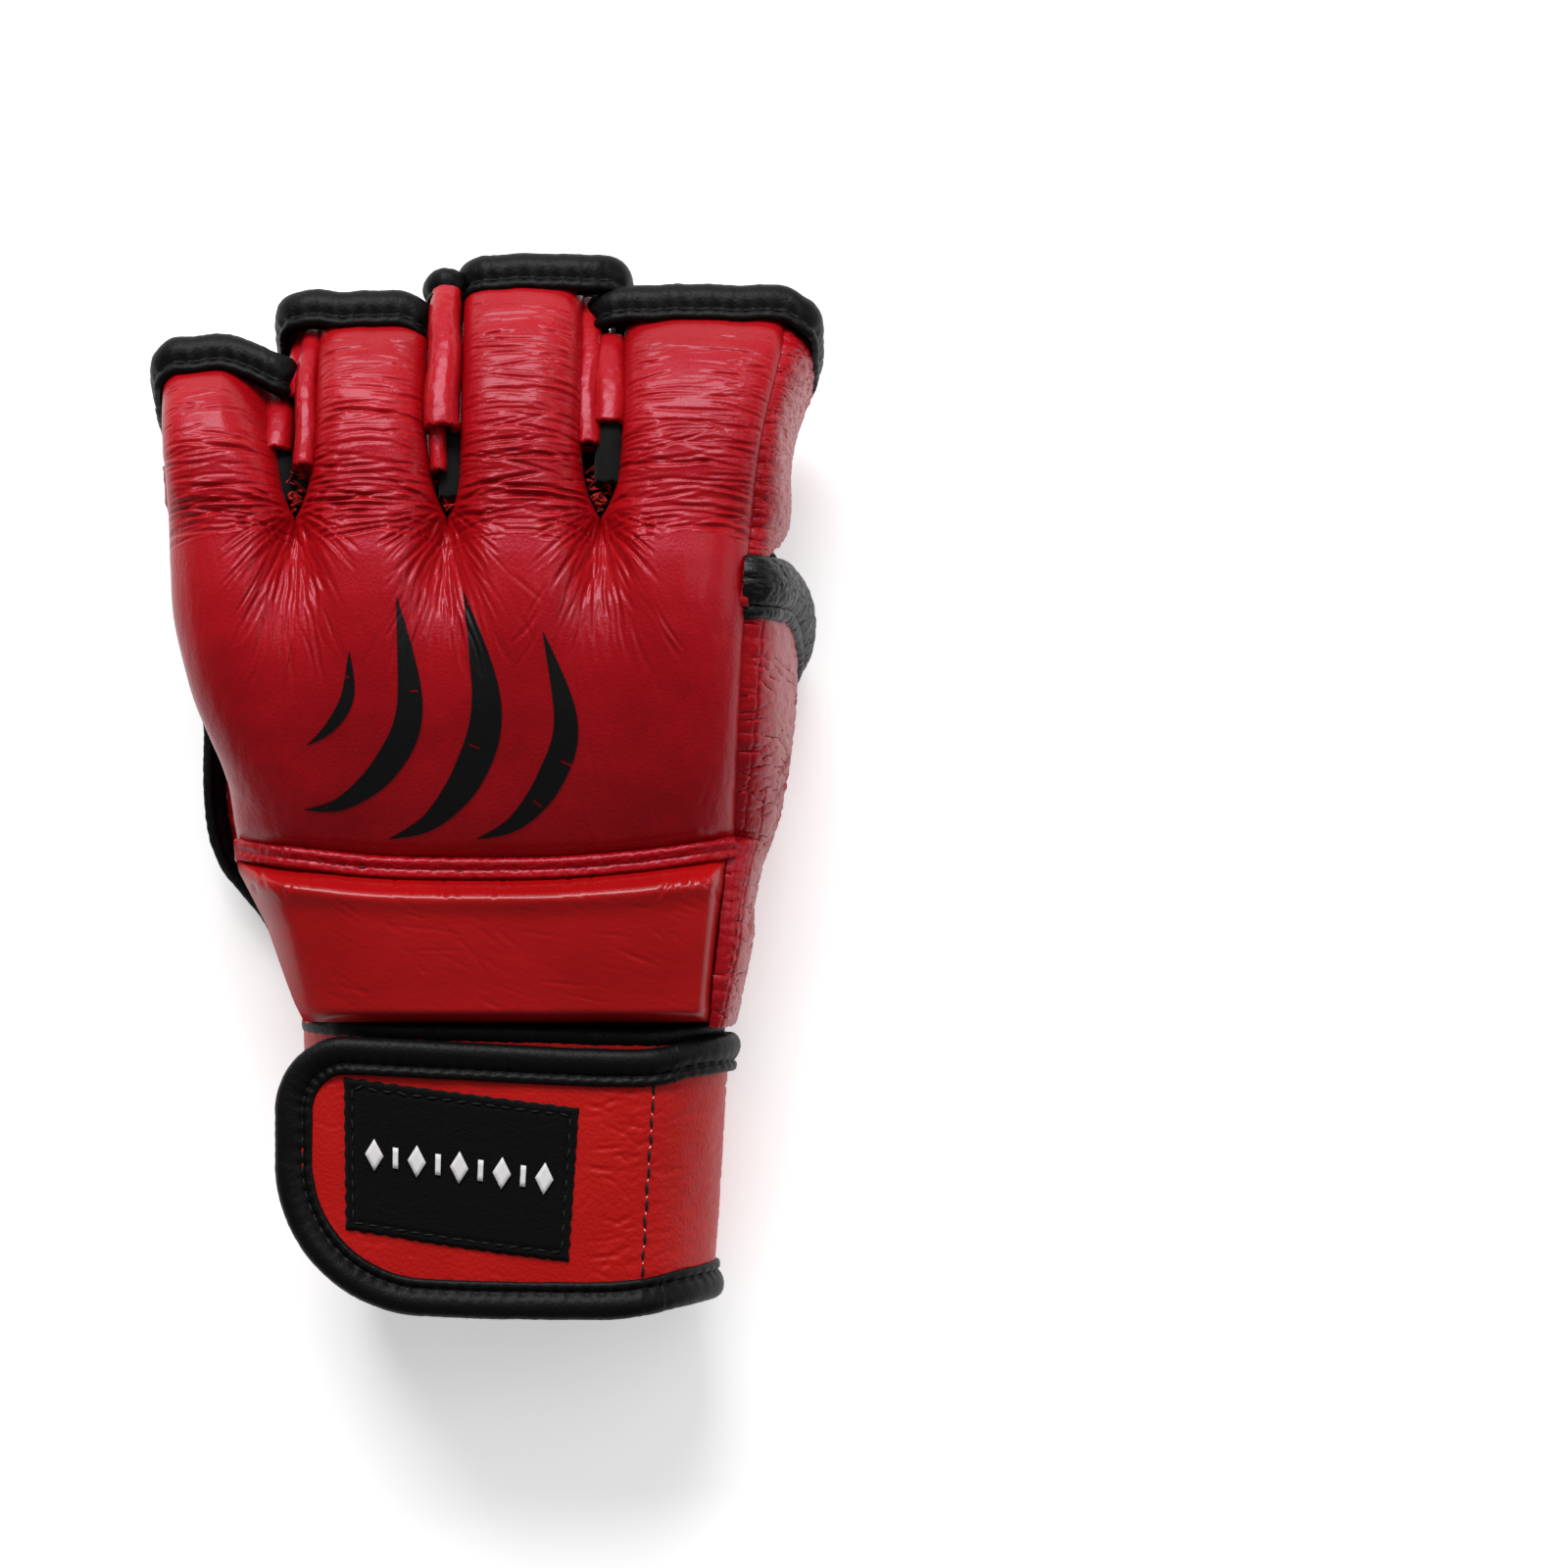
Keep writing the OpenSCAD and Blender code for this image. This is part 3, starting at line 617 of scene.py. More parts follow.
def cover_height(k, x, v):
    """Height of the leather over the crest line, before wrinkles; x and v may run past the edges."""
    y = SPINES[k].at(v)[0]
    near = smooth((y - 8) / (Y_SLIT - 8))
    depth = 9.0 * near ** 2.4
    radius = mix(21.0, 8.5, near ** 0.8)
    hand = np.zeros(np.broadcast(x, v).shape)
    for i in range(3):
        hand = hand - depth * (1 - smooth(np.abs(x - slit_x(i, y)) / radius)) ** 1.25
    from_left = np.clip(1 - (x - out_left(y)) / 17.0, 0, 0.999)
    from_right = np.clip(1 - (out_right(y) - x) / 12.0, 0, 0.999)
    hand = hand - 11.5 * (1 - np.sqrt(1 - from_left ** 2.4)) - 8.0 * (1 - np.sqrt(1 - from_right ** 2.4))
    # soft swell of the pad over each knuckle
    for i in range(4):
        m = sum(lobe_edges(i, 50.0)) / 2
        hand = hand + 0.9 * smooth(y / 40) * np.exp(-((x - m) / 8.5) ** 2)
    left, right = lobe_edges(k, y)
    mid, half = (left + right) / 2, (right - left) / 2
    u = (x - mid) / half
    t = np.clip((v - V_SLIT) / (SPINES[k].end - V_SLIT), 0, 1)
    d_left = mix(11.5 if k == 0 else 11.0, 7.4, t)
    d_right = mix(8.0, 5.2, t) if k == 3 else mix(11.0, 7.4, t)
    power = np.where(u < 0, 2.5 if k else 2.9, 3.2 if k == 3 else 2.5) + 0.9 * t
    if k == 0:
        power = np.where(u < 0, power, mix(2.5, 1.5, smooth(t * 1.5)))
        d_right = mix(11.0, 12.5, t)
    au = np.clip(np.abs(u), 0, 0.9995)
    finger = -np.where(u < 0, d_left, d_right) * (1 - (1 - au ** power) ** (1 / power)) + 0.9
    w = smooth((y - 49.5) / 10.0)
    edge = smooth((y + 15.2) / 5.0)        # tucks down into the welt
    return mix(hand, finger, w) - 1.2 * (1 - edge) ** 2


def cover_points(k, x, v):
    """Points on the leather over finger k, with its swells and creases."""
    x, v = np.broadcast_arrays(np.asarray(x, float), np.asarray(v, float))
    y, z, ny, nz = SPINES[k].at(v)
    h = cover_height(k, x, v)
    q = np.stack([x, v, 0 * x], -1)
    ripples = fbm(q / np.array([2.2, 6.5, 1]) + 8.1, 2) * smooth((54 - y) / 20)
    h = h + 0.38 * fbm(q / 15.0 + 4.2, 2) + 0.12 * ripples
    h = h + creases(x, v, STROKES)
    hem = (seam_y(x) + 14.4) * (1 - smooth(v / 24))
    lean = smooth((y + 15.2) / 9.0)        # beside the seam the leather drops straight down
    return np.stack([x, y + h * ny * lean + hem, z + h * mix(1.0, nz, lean)], -1)


cover_edges = {}
for k, s in enumerate(STALLS):
    rows = SPINES[k].rows
    y = SPINES[k].at(rows)[0]
    left, right = lobe_edges(k, y)
    j = np.linspace(0, 1, COLS)
    even, rolled = j, (1 - np.cos(math.pi * j)) / 2
    w = smooth((y - 44) / 12)[:, None]
    g = mix(even[None], mix(even, rolled, 0.8)[None], w)
    x = left[:, None] + (right - left)[:, None] * g
    v = np.repeat(rows[:, None], COLS, 1)
    p = cover_points(k, x, v)
    cover_edges[k] = (p[:, 0], p[:, -1])
    # normals from the one height function, so that the strips meet without a visible seam
    eps = 0.25
    dx = cover_points(k, x + eps, v) - cover_points(k, x - eps, v)
    dv = cover_points(k, x, v + eps) - cover_points(k, x, v - eps)
    n = unit(np.cross(dx, dv))
    slit_rows = (y > Y_SLIT - 0.5)[:, None] & ((g < 0.03) | (g > 0.97))
    real = -surface_normals(p)
    real = np.where((real * n).sum(-1, keepdims=True) < 0, -real, real)
    n = np.where(slit_rows[..., None], real, n)
    o = grid(f"cover_{s.name}", p, RED, normals=n)
    rep = [f"{s.name}_cover", f"{s.name}_foam"] + (["knuckle_cover", "knuckle_foam"] if k == 0 else [])
    place(o, blend=s.blend(), replaces=rep)


# ---------------------------------------- shared lines of the hand, as functions of y


def joined(low, edge):
    """Line that follows the back pad's table up to the seam and the knuckle cover's own edge from there."""
    upper = edge[edge[:, 1] > -12.0][:, [1, 0, 2]]
    upper = upper[np.argsort(upper[:, 0])]
    both = np.vstack([np.array(low), upper[::4]])
    return (lambda y: np.interp(y, both[:, 0], both[:, 1])), (lambda y: np.interp(y, both[:, 0], both[:, 2]))


edge_left, edge_left_z = joined([(-50.5, -37.2, 34), (-46, -39.6, 34.5), (-41, -41.6, 34.8),
                                 (-30, -45.6, 35), (-19, -51.4, 33.8), (-13.5, -52.6, 33)], cover_edges[0][0])
furrow_x, furrow_z = joined([(-51, 46.2, 37.5), (-44, 46.8, 39.5), (-30, 48.4, 40), (-18, 49.8, 38),
                             (-13.5, 50.4, 36.5)], cover_edges[3][1])
gusset_out = table([(-51, 47.6), (-45, 49.0), (-33, 51.4), (-27, 51.6), (-18, 53.2), (-7, 56.8), (11, 59.2),
                    (27, 59.8),
                    (36, 60.0), (45, 57.8), (55, 59.4), (65, 59.6), (75, 61.2), (87, 65.6), (95, 66.8)])


def wrinkled(p, seed, size=0.25, stretch=(3.0, 9.0, 3.0), fine=0.5, wrap=False):
    """Move a surface in and out with ridged folds, longest along the axis with the largest stretch."""
    n = surface_normals(p, wrap)
    q = p / np.array(stretch)
    ridge = 1 - 2.6 * np.abs(fbm(q + seed, 2))
    small = 1 - 2.6 * np.abs(fbm(q * 2.7 + seed * 2, 2))
    return p + n * (size * (ridge + fine * small))[..., None]


# ---------------------------------------- finger stalls: sleeves, linings, bindings


def ring2d(hw, hh, h0=0.0, n=2.6, count=150):
    """Rounded-square ring, half as wide as hw and as high as hh, with its outward normals."""
    t = np.linspace(0, 2 * math.pi, 1600, endpoint=False)
    c, s = np.cos(t), np.sin(t)
    p = np.stack([hw * np.sign(c) * np.abs(c) ** (2 / n), h0 + hh * np.sign(s) * np.abs(s) ** (2 / n)], 1)
    p = resample(p, 0.02, True)
    p = p[np.linspace(0, len(p), count, endpoint=False).astype(int)]
    d = unit(np.roll(p, -1, 0) - np.roll(p, 1, 0))
    return p, np.stack([d[:, 1], -d[:, 0]], 1)


# how far each mouth's binding sits sideways of its tube, and how much wider it is
MOUTH_SHIFT = {"little": (1.4, 1.0), "ring": (-2.0, 0.6), "middle": (3.7, 0.1), "index": (-3.4, 1.6)}


def mouth_offset(s, x):
    """How far each mouth's edge runs past or falls short of its arc."""
    wave = 0.25 * np.sin(x * 0.33 + s.mid) + 0.15 * np.sin(x * 0.71 + 2)
    if s.name == "little":
        return wave - 3.0 * smooth((x - 1.5) / 12) - 1.4 * smooth((-x - 8) / 5)
    if s.name == "index":
        return wave * 0.6 - 1.8 * smooth((x - 12.5) / 5) + 0.8
    if s.name == "ring":
        return wave - 1.0 * smooth((x - 4) / 10) + 0.4
    return wave * 0.6


little_out = table([(40, -60), (55, -61.6), (65, -62.2), (79, -65.4), (92, -67.4)])


def tuck_in(s, arcs, x, hw, more):
    """Narrow a stall's tube where its side panel stands inside the tube's full width."""
    y = s.at(arcs, 0, 0)[:, 1]
    if s.name == "index":
        return np.where(x > 0, x * np.minimum((gusset_out(y) - 2.2 - more - s.mid)[:, None] / hw, 1), x)
    if s.name == "little":
        return np.where(x < 0, x * np.minimum((s.mid - little_out(y) - more)[:, None] / hw, 1), x)
    return x


ring_count = 180
for k, s in enumerate(STALLS):
    hw = s.w / 2 - 1.2
    arcs = np.arange(-10.0, s.bind + 4.0, 0.6)
    flat = ring2d(hw, 11.3, count=ring_count)[0]
    rear = smooth((12 - arcs) / 22)[:, None]
    x = np.repeat(flat[None, :, 0], len(arcs), 0)
    h = np.where(flat[None, :, 1] < 0, flat[None, :, 1] * (1 + 0.75 * rear), flat[None, :, 1] * 0.68)
    x = tuck_in(s, arcs, x, hw, 0)
    p = s.at(arcs[:, None], x * (1 - 0.05 * rear), h)
    p = wrinkled(p, k * 3.1, 0.30, (7.0, 2.6, 3.6), wrap=True)
    red_up_to = 9.5 if s.name == "little" else 4.5      # the little finger's outer side is open to view
    low = int(np.argmin(np.abs(flat[:ring_count // 4, 1] - red_up_to)))
    cols = np.arange(low, ring_count // 2 - low + 1)
    top = grid(f"sleeve_lining_{s.name}", p[:, cols], LINING, flip=True, thick=0.6)
    place(top, blend=s.blend())
    cols = np.arange(ring_count // 2 - low, ring_count + low + 1) % ring_count
    red = grid(f"sleeve_{s.name}", p[:, cols], RED_PAD, flip=True, thick=1.0)
    place(red, blend=s.blend(), replaces=[f"{s.name}_sleeve"])

    # lining seen through the mouth
    flat = ring2d(hw - 2.0, 10.6, 0.9, count=90)[0]
    arcs = np.arange(2.0, s.length - 1.2, 1.0)
    low_top = mix(0.55, 1.0, smooth((arcs - s.bind + 9) / 9))[:, None]
    x = tuck_in(s, arcs, np.repeat(flat[None, :, 0], len(arcs), 0), hw - 2.0, 1.6)
    p = s.at(arcs[:, None], x, np.where(flat[None, :, 1] > 0, flat[None, :, 1] * low_top, flat[None, :, 1]))
    p = wrinkled(p, k + 40.0, 0.22, (6, 3, 6), wrap=True)
    place(grid(f"mouth_lining_{s.name}", p, FUZZ, wrap=True, thick=0.5), s.body)

    # the binding folded over the mouth's edge
    shift, wider = MOUTH_SHIFT[s.name]
    flat, out = ring2d(hw + wider, 12.8, 1.7, 5.6, 320)
    x, h = flat[:, 0] + shift, flat[:, 1]
    arc = s.length - 2.4 + mouth_offset(s, x) * smooth((h + 6) / 8)
    a = np.radians(BASE_TILT) + ARC * arc / s.length
    up = np.stack([out[:, 0], out[:, 1] * np.sin(a), out[:, 1] * np.cos(a)], 1)
    bind(f"binding_{s.name}", s.at(arc, x, h), s.axis(arc), up, 1.30, s.body, replaces=[f"{s.name}_binding"],
         closed=True, pucker=0.16, seed=k * 7.7)

# ---------------------------------------- strips in the slits between the stalls


def arc_at(s, y, h):
    """Arc length at which a stall reaches y, h above its middle line."""
    a = np.linspace(-4, s.length + 4, 400)
    return float(np.interp(y, s.at(a, 0, h)[:, 1], a))


def strip(name, k, x0, x1, y0, y1, drop, material=RED_PAD, deep=4.2, narrow=1.0,
          bulge=0.0):
    """Rolled strip along a stall's side, torn off raggedly at y0, drop below the lobe's crest."""
    s = STALLS[k]
    around = 48
    a0, a1 = arc_at(s, y0, 13), arc_at(s, y1, 13)
    rows = np.arange(a0, a1, 0.5)
    t = np.linspace(0, 1, len(rows))
    theta = np.linspace(0, 2 * math.pi, around, endpoint=False)
    half = (x1 - x0) / 2 * mix(1.0, narrow, t)[:, None] * (1 + bulge * np.sin(t * math.pi))[:, None]
    mid = (x0 + x1) / 2 - s.mid
    c, sn = np.cos(theta), np.sin(theta)
    x = mid + half * np.sign(c) * np.abs(c) ** 0.8 + 0.25 * np.sin(rows * 0.35 + x0)[:, None]
    h = (s.crest(rows) - drop - deep)[:, None] + deep * np.sign(sn) * np.abs(sn) ** 0.8
    coarse, fine = xyz(c * 2.2 + x0, sn * 2.2, 0), xyz(c * 6, sn * 6 + x0, 0)
    tear = 0.7 * (perlin(coarse) + 0.5 * perlin(fine))
    arc = rows[:, None] + tear[None] * np.exp(-(rows - a0) / 2.0)[:, None]
    p = wrinkled(s.at(arc, x, h), x0, 0.13, (2.6, 5.0, 2.6), wrap=True)
    # rim of the cut and the dark inside of the fold
    rim = mix(p[0], p[0].mean(0), 0.42)
    inside = mix(p[4], p[4].mean(0), 0.5)
    p = np.concatenate([inside[None], rim[None], mix(p[:1], rim[None], 0.5), p])
    place(grid(name, p, material, wrap=True, flip=True), s.body)
    plug = s.at(np.full(1, a0 + 1.4), np.array([mid]), np.array([s.crest(a0) - drop - deep]))
    disc = np.concatenate([plug, mix(p[4], plug, 0.3)])
    fan = [(0, 1 + i, 1 + (i + 1) % around) for i in range(around)]
    place(new_object(name + "_inside", disc, fan, LINING), s.body)


strip("strip_ring_left", 1, -39.4, -34.4, 63.4, 96.0, 2.0, deep=4.2)
strip("strip_ring_fold", 1, -41.0, -36.0, 79.0, 97.0, 4.4, deep=4.0, bulge=0.15)
strip("strip_middle_left", 2, -12.8, -5.2, 70.6, 101.0, -1.0, deep=4.8, narrow=0.86)
strip("strip_middle_small", 2, -11.8, -8.0, 62.6, 76.0, 3.0, deep=3.2)
strip("strip_middle_right", 2, 17.6, 23.4, 68.4, 102.0, 4.2, deep=4.6)
strip("strip_index_left", 3, 21.4, 28.4, 72.6, 93.0, 2.8, deep=5.0, bulge=0.1)
strip("strip_little_right", 0, -46.4, -39.6, 67.6, 90.0, 5.0, deep=5.2)
strip("lining_little_right", 0, -45.0, -39.2, 57.0, 70.0, 8.0, LINING, 5.0)
strip("lining_index_left", 3, 22.0, 28.0, 60.5, 75.0, 5.0, LINING, 5.0)
strip("lining_middle_left", 2, -10.2, -4.4, 57.5, 73.0, 5.4, LINING, 4.6)

# the strip at the middle stall's left has a binding of its own
s = STALLS[2]
t = np.linspace(0, 2 * math.pi, 90, endpoint=False)
xm, hm = -9.1 - s.mid, s.crest(s.length - 6) + 0.6 - 4.4
end = arc_at(s, 104.8, 13)
a = math.radians(BASE_TILT) + ARC * end / s.length
up = np.stack([np.cos(t), np.sin(t) * math.sin(a), np.sin(t) * math.cos(a)], 1)
bind("binding_middle_strip", s.at(end, xm + 3.3 * np.cos(t), hm + 4.2 * np.sin(t)),
     np.repeat(s.axis(end)[None], 90, 0), up, 1.0, s.body, closed=True, seed=3.3)


def strands(name, lines, radius, material):
    """Short loose fibres: thin tapered tubes along given lines."""
    verts, faces, base = [], [], 0
    a = np.linspace(0, 2 * math.pi, 6, endpoint=False)
    cos_a, sin_a = np.cos(a)[None, :, None], np.sin(a)[None, :, None]
    for line, r in zip(lines, radius):
        q = np.array(line)
        d = unit(np.gradient(q, axis=0))
        side = unit(np.cross(d, np.array([0.3, 0.2, 1.0])))
        over = np.cross(side, d)
        taper = r * np.sqrt(np.clip(1 - np.linspace(0, 0.97, len(q)) ** 2, 0, 1))
        ring = q[:, None] + taper[:, None, None] * (cos_a * side[:, None] + sin_a * over[:, None])
        verts.append(ring.reshape(-1, 3))
        faces.append(grid_faces(len(q), 6, True, base))
        base += len(q) * 6
    return new_object(name, np.concatenate(verts), np.concatenate(faces)[:, ::-1], material)
for i in range(3):
    lines, radius = [], []
    for n in range(46):
        side = rng.choice([-1, 1])
        depth = rng.uniform(0, 1)
        y = Y_SLIT + 0.2 + depth * 8.5
        x = slit_x(i, y) + side * slit_half(i, y) * rng.uniform(0.55, 1.0)
        z = 48.4 - depth * 3.4 + rng.uniform(-2.8, 0.6)
        reach = rng.uniform(0.8, 2.4)
        turn = rng.uniform(-0.9, 0.9)
        step = np.linspace(0, 1, 6)[:, None]
        way = np.array([[-side * math.cos(turn), math.sin(turn) + 0.3, rng.uniform(-0.4, 0.9)]])
        line = np.array([[x, y, z]]) + step * reach * way
        line[:, 2] += 0.5 * np.sin(step[:, 0] * 3 + n)
        lines.append(line)
        radius.append(rng.uniform(0.14, 0.42))
    tuft = strands(f"frayed_edge_{i}", lines, radius, FRAY)
    place(tuft, blend=STALLS[i + 1].blend())

# ---------------------------------------- webs between the stalls

for i, c in enumerate(SLITS):
    t = np.linspace(0, 1, 50)[:, None]
    across = np.linspace(-1, 1, 30)[None]
    x = c + slit_x(i, 62) - slit_x(i, 50) + across * mix(7.5, 4.6, t)
    y = 50.0 + 17.0 * np.sin(t * math.pi / 2) + 0.4 * across ** 2
    z = 33.0 + 11.5 * np.cos(t * math.pi / 2) ** 0.8 + 1.4 * across ** 2 - 1.0 * t
    p = wrinkled(xyz(x, y, z), 50.0 + i, 0.3, (3, 3, 3))
    web = grid(f"web_{i}", p, LINING, thick=0.8)
    place(web, blend=STALLS[i + 1].blend(54.0, 62.0))

# ---------------------------------------- sides of the hand


def side_section(x0, z0, x1, z1, out, t, power=0.75):
    """Half-round fold from (x0, z0) at the top to (x1, z1) below, standing out to x = out."""
    a = math.pi / 2 - math.pi * t
    s = np.sin(a)
    z = (z0 + z1) / 2 + (z0 - z1) / 2 * s
    base = mix(x1, x0, (s + 1) / 2)
    c = np.abs(np.cos(a)) ** power
    return base + (out - (x0 + x1) / 2) * c, z


ROWS_SIDE = 230
COLS_SIDE = 120
t = np.linspace(0, 1, COLS_SIDE)[None]

# little finger's side
ulnar_low = table([(-52, -33), (-33, -42.5), (-26, -46.4), (-20, -51.2), (-15, -55.0), (-8, -57.0),
                   (2, -57.6), (12, -57.6), (26, -59.6), (62, -60.4)])
y = np.linspace(-50.2, 64.0, ROWS_SIDE)[:, None]
x0, z0 = edge_left(y) + 1.2, edge_left_z(y) + 0.2
front = smooth((y - 44) / 15)
out = x0 - mix(2.3, 0.3, smooth((y - 4) / 30))
x, z = side_section(x0, z0, ulnar_low(y) + 5.0 * front, 6.2 + 11.0 * front, out, t, 0.8)
p = wrinkled(xyz(x, y, z), 5.5, 0.30, (4, 5.0, 9.0))
o = grid("side_little_finger", p, RED, flip=True, thick=1.2)
place(o, blend=STALLS[0].blend(), replaces=["ulnar_panel"])


def thumb_side(y, t, top=0.2, low=5.6):
    """The thumb's side of the hand, from the furrow beside the back pad round to the palm."""
    x_low = mix(46.8, 57.4, smooth((y + 50) / 78))
    return side_section(furrow_x(y) - 1.0, furrow_z(y) - top, x_low, low + 0 * y, gusset_out(y) + 1.4, t, 0.62)
# thumb's side: from the wrist up to the lower lip of the thumb opening
lip_low = table([(0.0, 43.6), (0.2, 43.4), (0.4, 42.4), (0.6, 37.5), (0.8, 31.5), (1.0, 28.0)])
lip_high = table([(0.0, 45.4), (0.2, 46.0), (0.4, 48.5), (0.6, 52.0), (0.8, 54.5), (1.0, 55.5)])
r = np.linspace(0, 1, ROWS_SIDE)[:, None]
y = mix(-50.4, lip_low(t), r)
x, z = thumb_side(y, t)
p = wrinkled(xyz(x, y, z), 9.5, 0.24, (11.0, 3.2, 12.0), 0.45)
folds = scatter(np.random.default_rng(61), 190, (2, 40), (-48, 26), (0, 0.16), (3, 11), (0.3, 0.5),
                (0.10, 0.34), (0, 0.01))
folds += [(9, -30, 1.4, 30, 0.7, 0.9, 0.002), (5, 10, 1.5, 25, 0.5, 0.5, 0.001)]
p = p + surface_normals(p) * creases(p[..., 2] * 0 + t * 60, y + 0 * t, folds)[..., None]
tuck = smooth((y - lip_low(t) + 10.5) / 3.0)       # goes in under the soft roll
n = surface_normals(p)
p = p - np.where(n[..., :1] < 0, -1, 1) * n * 2.6 * tuck[..., None]
o = grid("side_thumb", p, RED, flip=True, thick=1.2)
place(o, "hand", replaces=["radial_gusset"])

# side of the index stall, above the thumb opening
y_end = table([(0.0, 94.5), (0.3, 92.0), (0.6, 86.0), (0.85, 79.0), (1.0, 75.5)])
y = mix(lip_high(t), y_end(t), r)
x0, z0 = furrow_x(y) - 1.0, furrow_z(y) - 0.2
z1 = np.interp(y, [44, 56, 66, 76, 90, 100], [16, 15, 15, 12.5, 8, 6])
x, z = side_section(x0, z0, 56.0 + 9 * smooth((y - 60) / 30), z1, gusset_out(y) + 0.9, t, 0.6)
p = wrinkled(xyz(x, y, z), 2.2, 0.26, (11.0, 2.2, 7.0), 0.6)
high_lip = p[0]
o = grid("side_index", p, RED, flip=True, thick=1.2)
place(o, blend=STALLS[3].blend(), replaces=["index_gusset"])

# the thumb opening's bindings: a wide soft roll below, a narrow hem above
ROLL = 11.5             # width of the roll
r = np.linspace(0, 1, 60)[:, None]
t = np.linspace(0, 0.97, 150)[None]
y = lip_low(t) + 1.2 - ROLL * (1 - r)
x, z = thumb_side(y, t)
p = xyz(x, y, z)
n = surface_normals(p)
n = np.where(n[:, :, :1] + 0.6 * n[:, :, 2:] < 0, -n, n)
crown = 2.3 * np.clip(np.sin(math.pi * np.clip((r - 0.2) / 0.86, 0, 1)), 0, 1) ** 0.7
height = 0.4 + 1.2 * smooth(r / 0.06) - 0.9 * np.exp(-((r - 0.2) / 0.05) ** 2) + crown
height = height - 2.2 * smooth((r - 0.93) / 0.07)
p = wrinkled(p + n * height[..., None], 44.0, 0.24, (7.0, 2.2, 2.6), 0.8)
o = grid("thumb_opening_lower", p, BLACK_SOFT, flip=True, thick=0.8)
place(o, "hand", replaces=["thumb_hole_binding"])
GROOVE_ROW = 12
points, d = along_path(p[GROOVE_ROW], 3.2)
even, all_columns = np.linspace(0, 1, len(points)), np.linspace(0, 1, n.shape[1])
up = np.stack([np.interp(even, all_columns, n[GROOVE_ROW, :, i]) for i in range(3)], 1)
o = stitch_and_highlight_capsules("thumb_opening_stitches", points + up * 0.15, d, up, THREAD_BLACK, 2.4, 0.55)
place(o, "hand")
q = catmull(high_lip[::6], 6)
d = unit(np.gradient(q, axis=0))
out = np.tile([[0, -1.0, 0]], (len(q), 1))
out = unit(out - d * (out * d).sum(1, keepdims=True))
up = np.cross(out, d)
up = np.where((up[:, :1] + 0.5 * up[:, 2:3]) < 0, -up, up)
bind("thumb_opening_upper", q, out, up, 0.62, pucker=0.12, seed=8.1)

# ---------------------------------------- pad on the back of the hand, with its welt

nx, ny = ((240, 150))
u = np.linspace(0, 1, nx)[None]
w = np.linspace(0, 1, ny)[:, None]
PAD_START = -49.6
y = mix(PAD_START + 0 * u, seam_y(mix(-51, 50, u)) - 3.4, w)
x = mix(edge_left(y) - 0.2, furrow_x(y) - 0.9, u)


def round_edge(distance, reach):
    """Height of a rounded edge, from 0 at the edge to 1 at reach."""
    return 1 - (1 - np.clip(distance / reach, 0, 1)) ** 2.6


edge_h = (round_edge(u * 98, 9.0) * round_edge((1 - u) * 98, 4.0) * round_edge(y - PAD_START, 3.2)
          * round_edge((1 - w) * 33, 6.4))
from_left, from_right = x - edge_left(y), furrow_x(y) - x
sides = 5.5 * np.clip(1 - from_left / 22, 0, 1) ** 2 + 2.5 * np.clip(1 - from_right / 16, 0, 1) ** 2
top = 47.6 - 1.6 * smooth((-28 - y) / 22) + 1.3 * np.exp(-((w - 0.87) / 0.10) ** 2) - sides
base = mix(34.5, 40.0, smooth((x + 52) / 20)) - 2.0 * smooth((x - 36) / 14)
z = base + (top - base) * edge_h
q = xyz(x, y, z)
z = z + 0.30 * fbm(q / 14.0, 2) * edge_h + 0.05 * fbm(q / np.array([5.0, 1.6, 5.0]) + 3, 2)
p = xyz(x, y, z)
local = np.random.default_rng(31)
strokes = scatter(local, 60, (-30, 46), (-47, -24), (-0.5, 0.25), (2, 6), (0.3, 0.5), (0.03, 0.09))
for across in np.concatenate([local.uniform(-48, 48, 26), local.uniform(34, 49, 16)]):
    strokes += scatter(local, 1, float(across), (-23.5, -19.5), (math.pi / 2, 0.35), (1.0, 2.6), 0.4,
                       (0.1, 0.3))
p = p + surface_normals(p) * creases(p[..., 0], p[..., 1], strokes)[..., None]
o = grid("back_pad", p, RED_GLOSS, thick=1.2)
place(o, "hand", replaces=["back_cover", "back_foam"])

# welt: a folded and stitched band between the pads
xs = np.linspace(-52.5, 50.6, nx)[None]
rows = np.linspace(-1, 1, 26)[:, None]
zm = 42.6 - 8.6 * np.clip(1 - (xs + 52.5) / 16, 0, 1) ** 2 - 3.6 * np.clip(1 - (50.6 - xs) / 12, 0, 1) ** 2
ridge = 0.5 * np.exp(-((rows - 0.55) / 0.3) ** 2) - 0.3 * np.exp(-((rows + 0.1) / 0.16) ** 2)
ridge = ridge - 7.8 * np.clip(-rows - 0.72, 0, 1) - 7.5 * np.clip(rows - 0.86, 0, 1)
p = wrinkled(xyz(xs, seam_y(xs) - 1.7 + rows * 2.3, zm + ridge + 0.25), 12.5, 0.20, (1.9, 3.0, 3.0), 0.6)
place(grid("pad_welt_band", p, RED_PAD, thick=1.0), "hand", replaces=["pad_welt"])
sx = np.arange(-49, 49, 2.9)
points = np.stack([sx, seam_y(sx) - 1.95, np.interp(sx, xs[0], zm[0]) - 0.02], 1)
o = stitch_and_highlight_capsules("welt_stitches_a", points, np.gradient(points, axis=0), np.tile([[0, 0, 1.0]], (len(points), 1)),
            THREAD_RED, 2.2, 0.42)
place(o, "hand")

# ---------------------------------------- wrist: two turns of one strap

X_WRIST, WRAP_W, WRAP_H = 4.5, 96.0, 42.9
Y_LOW, Y_TOP = -108.6, -54.6


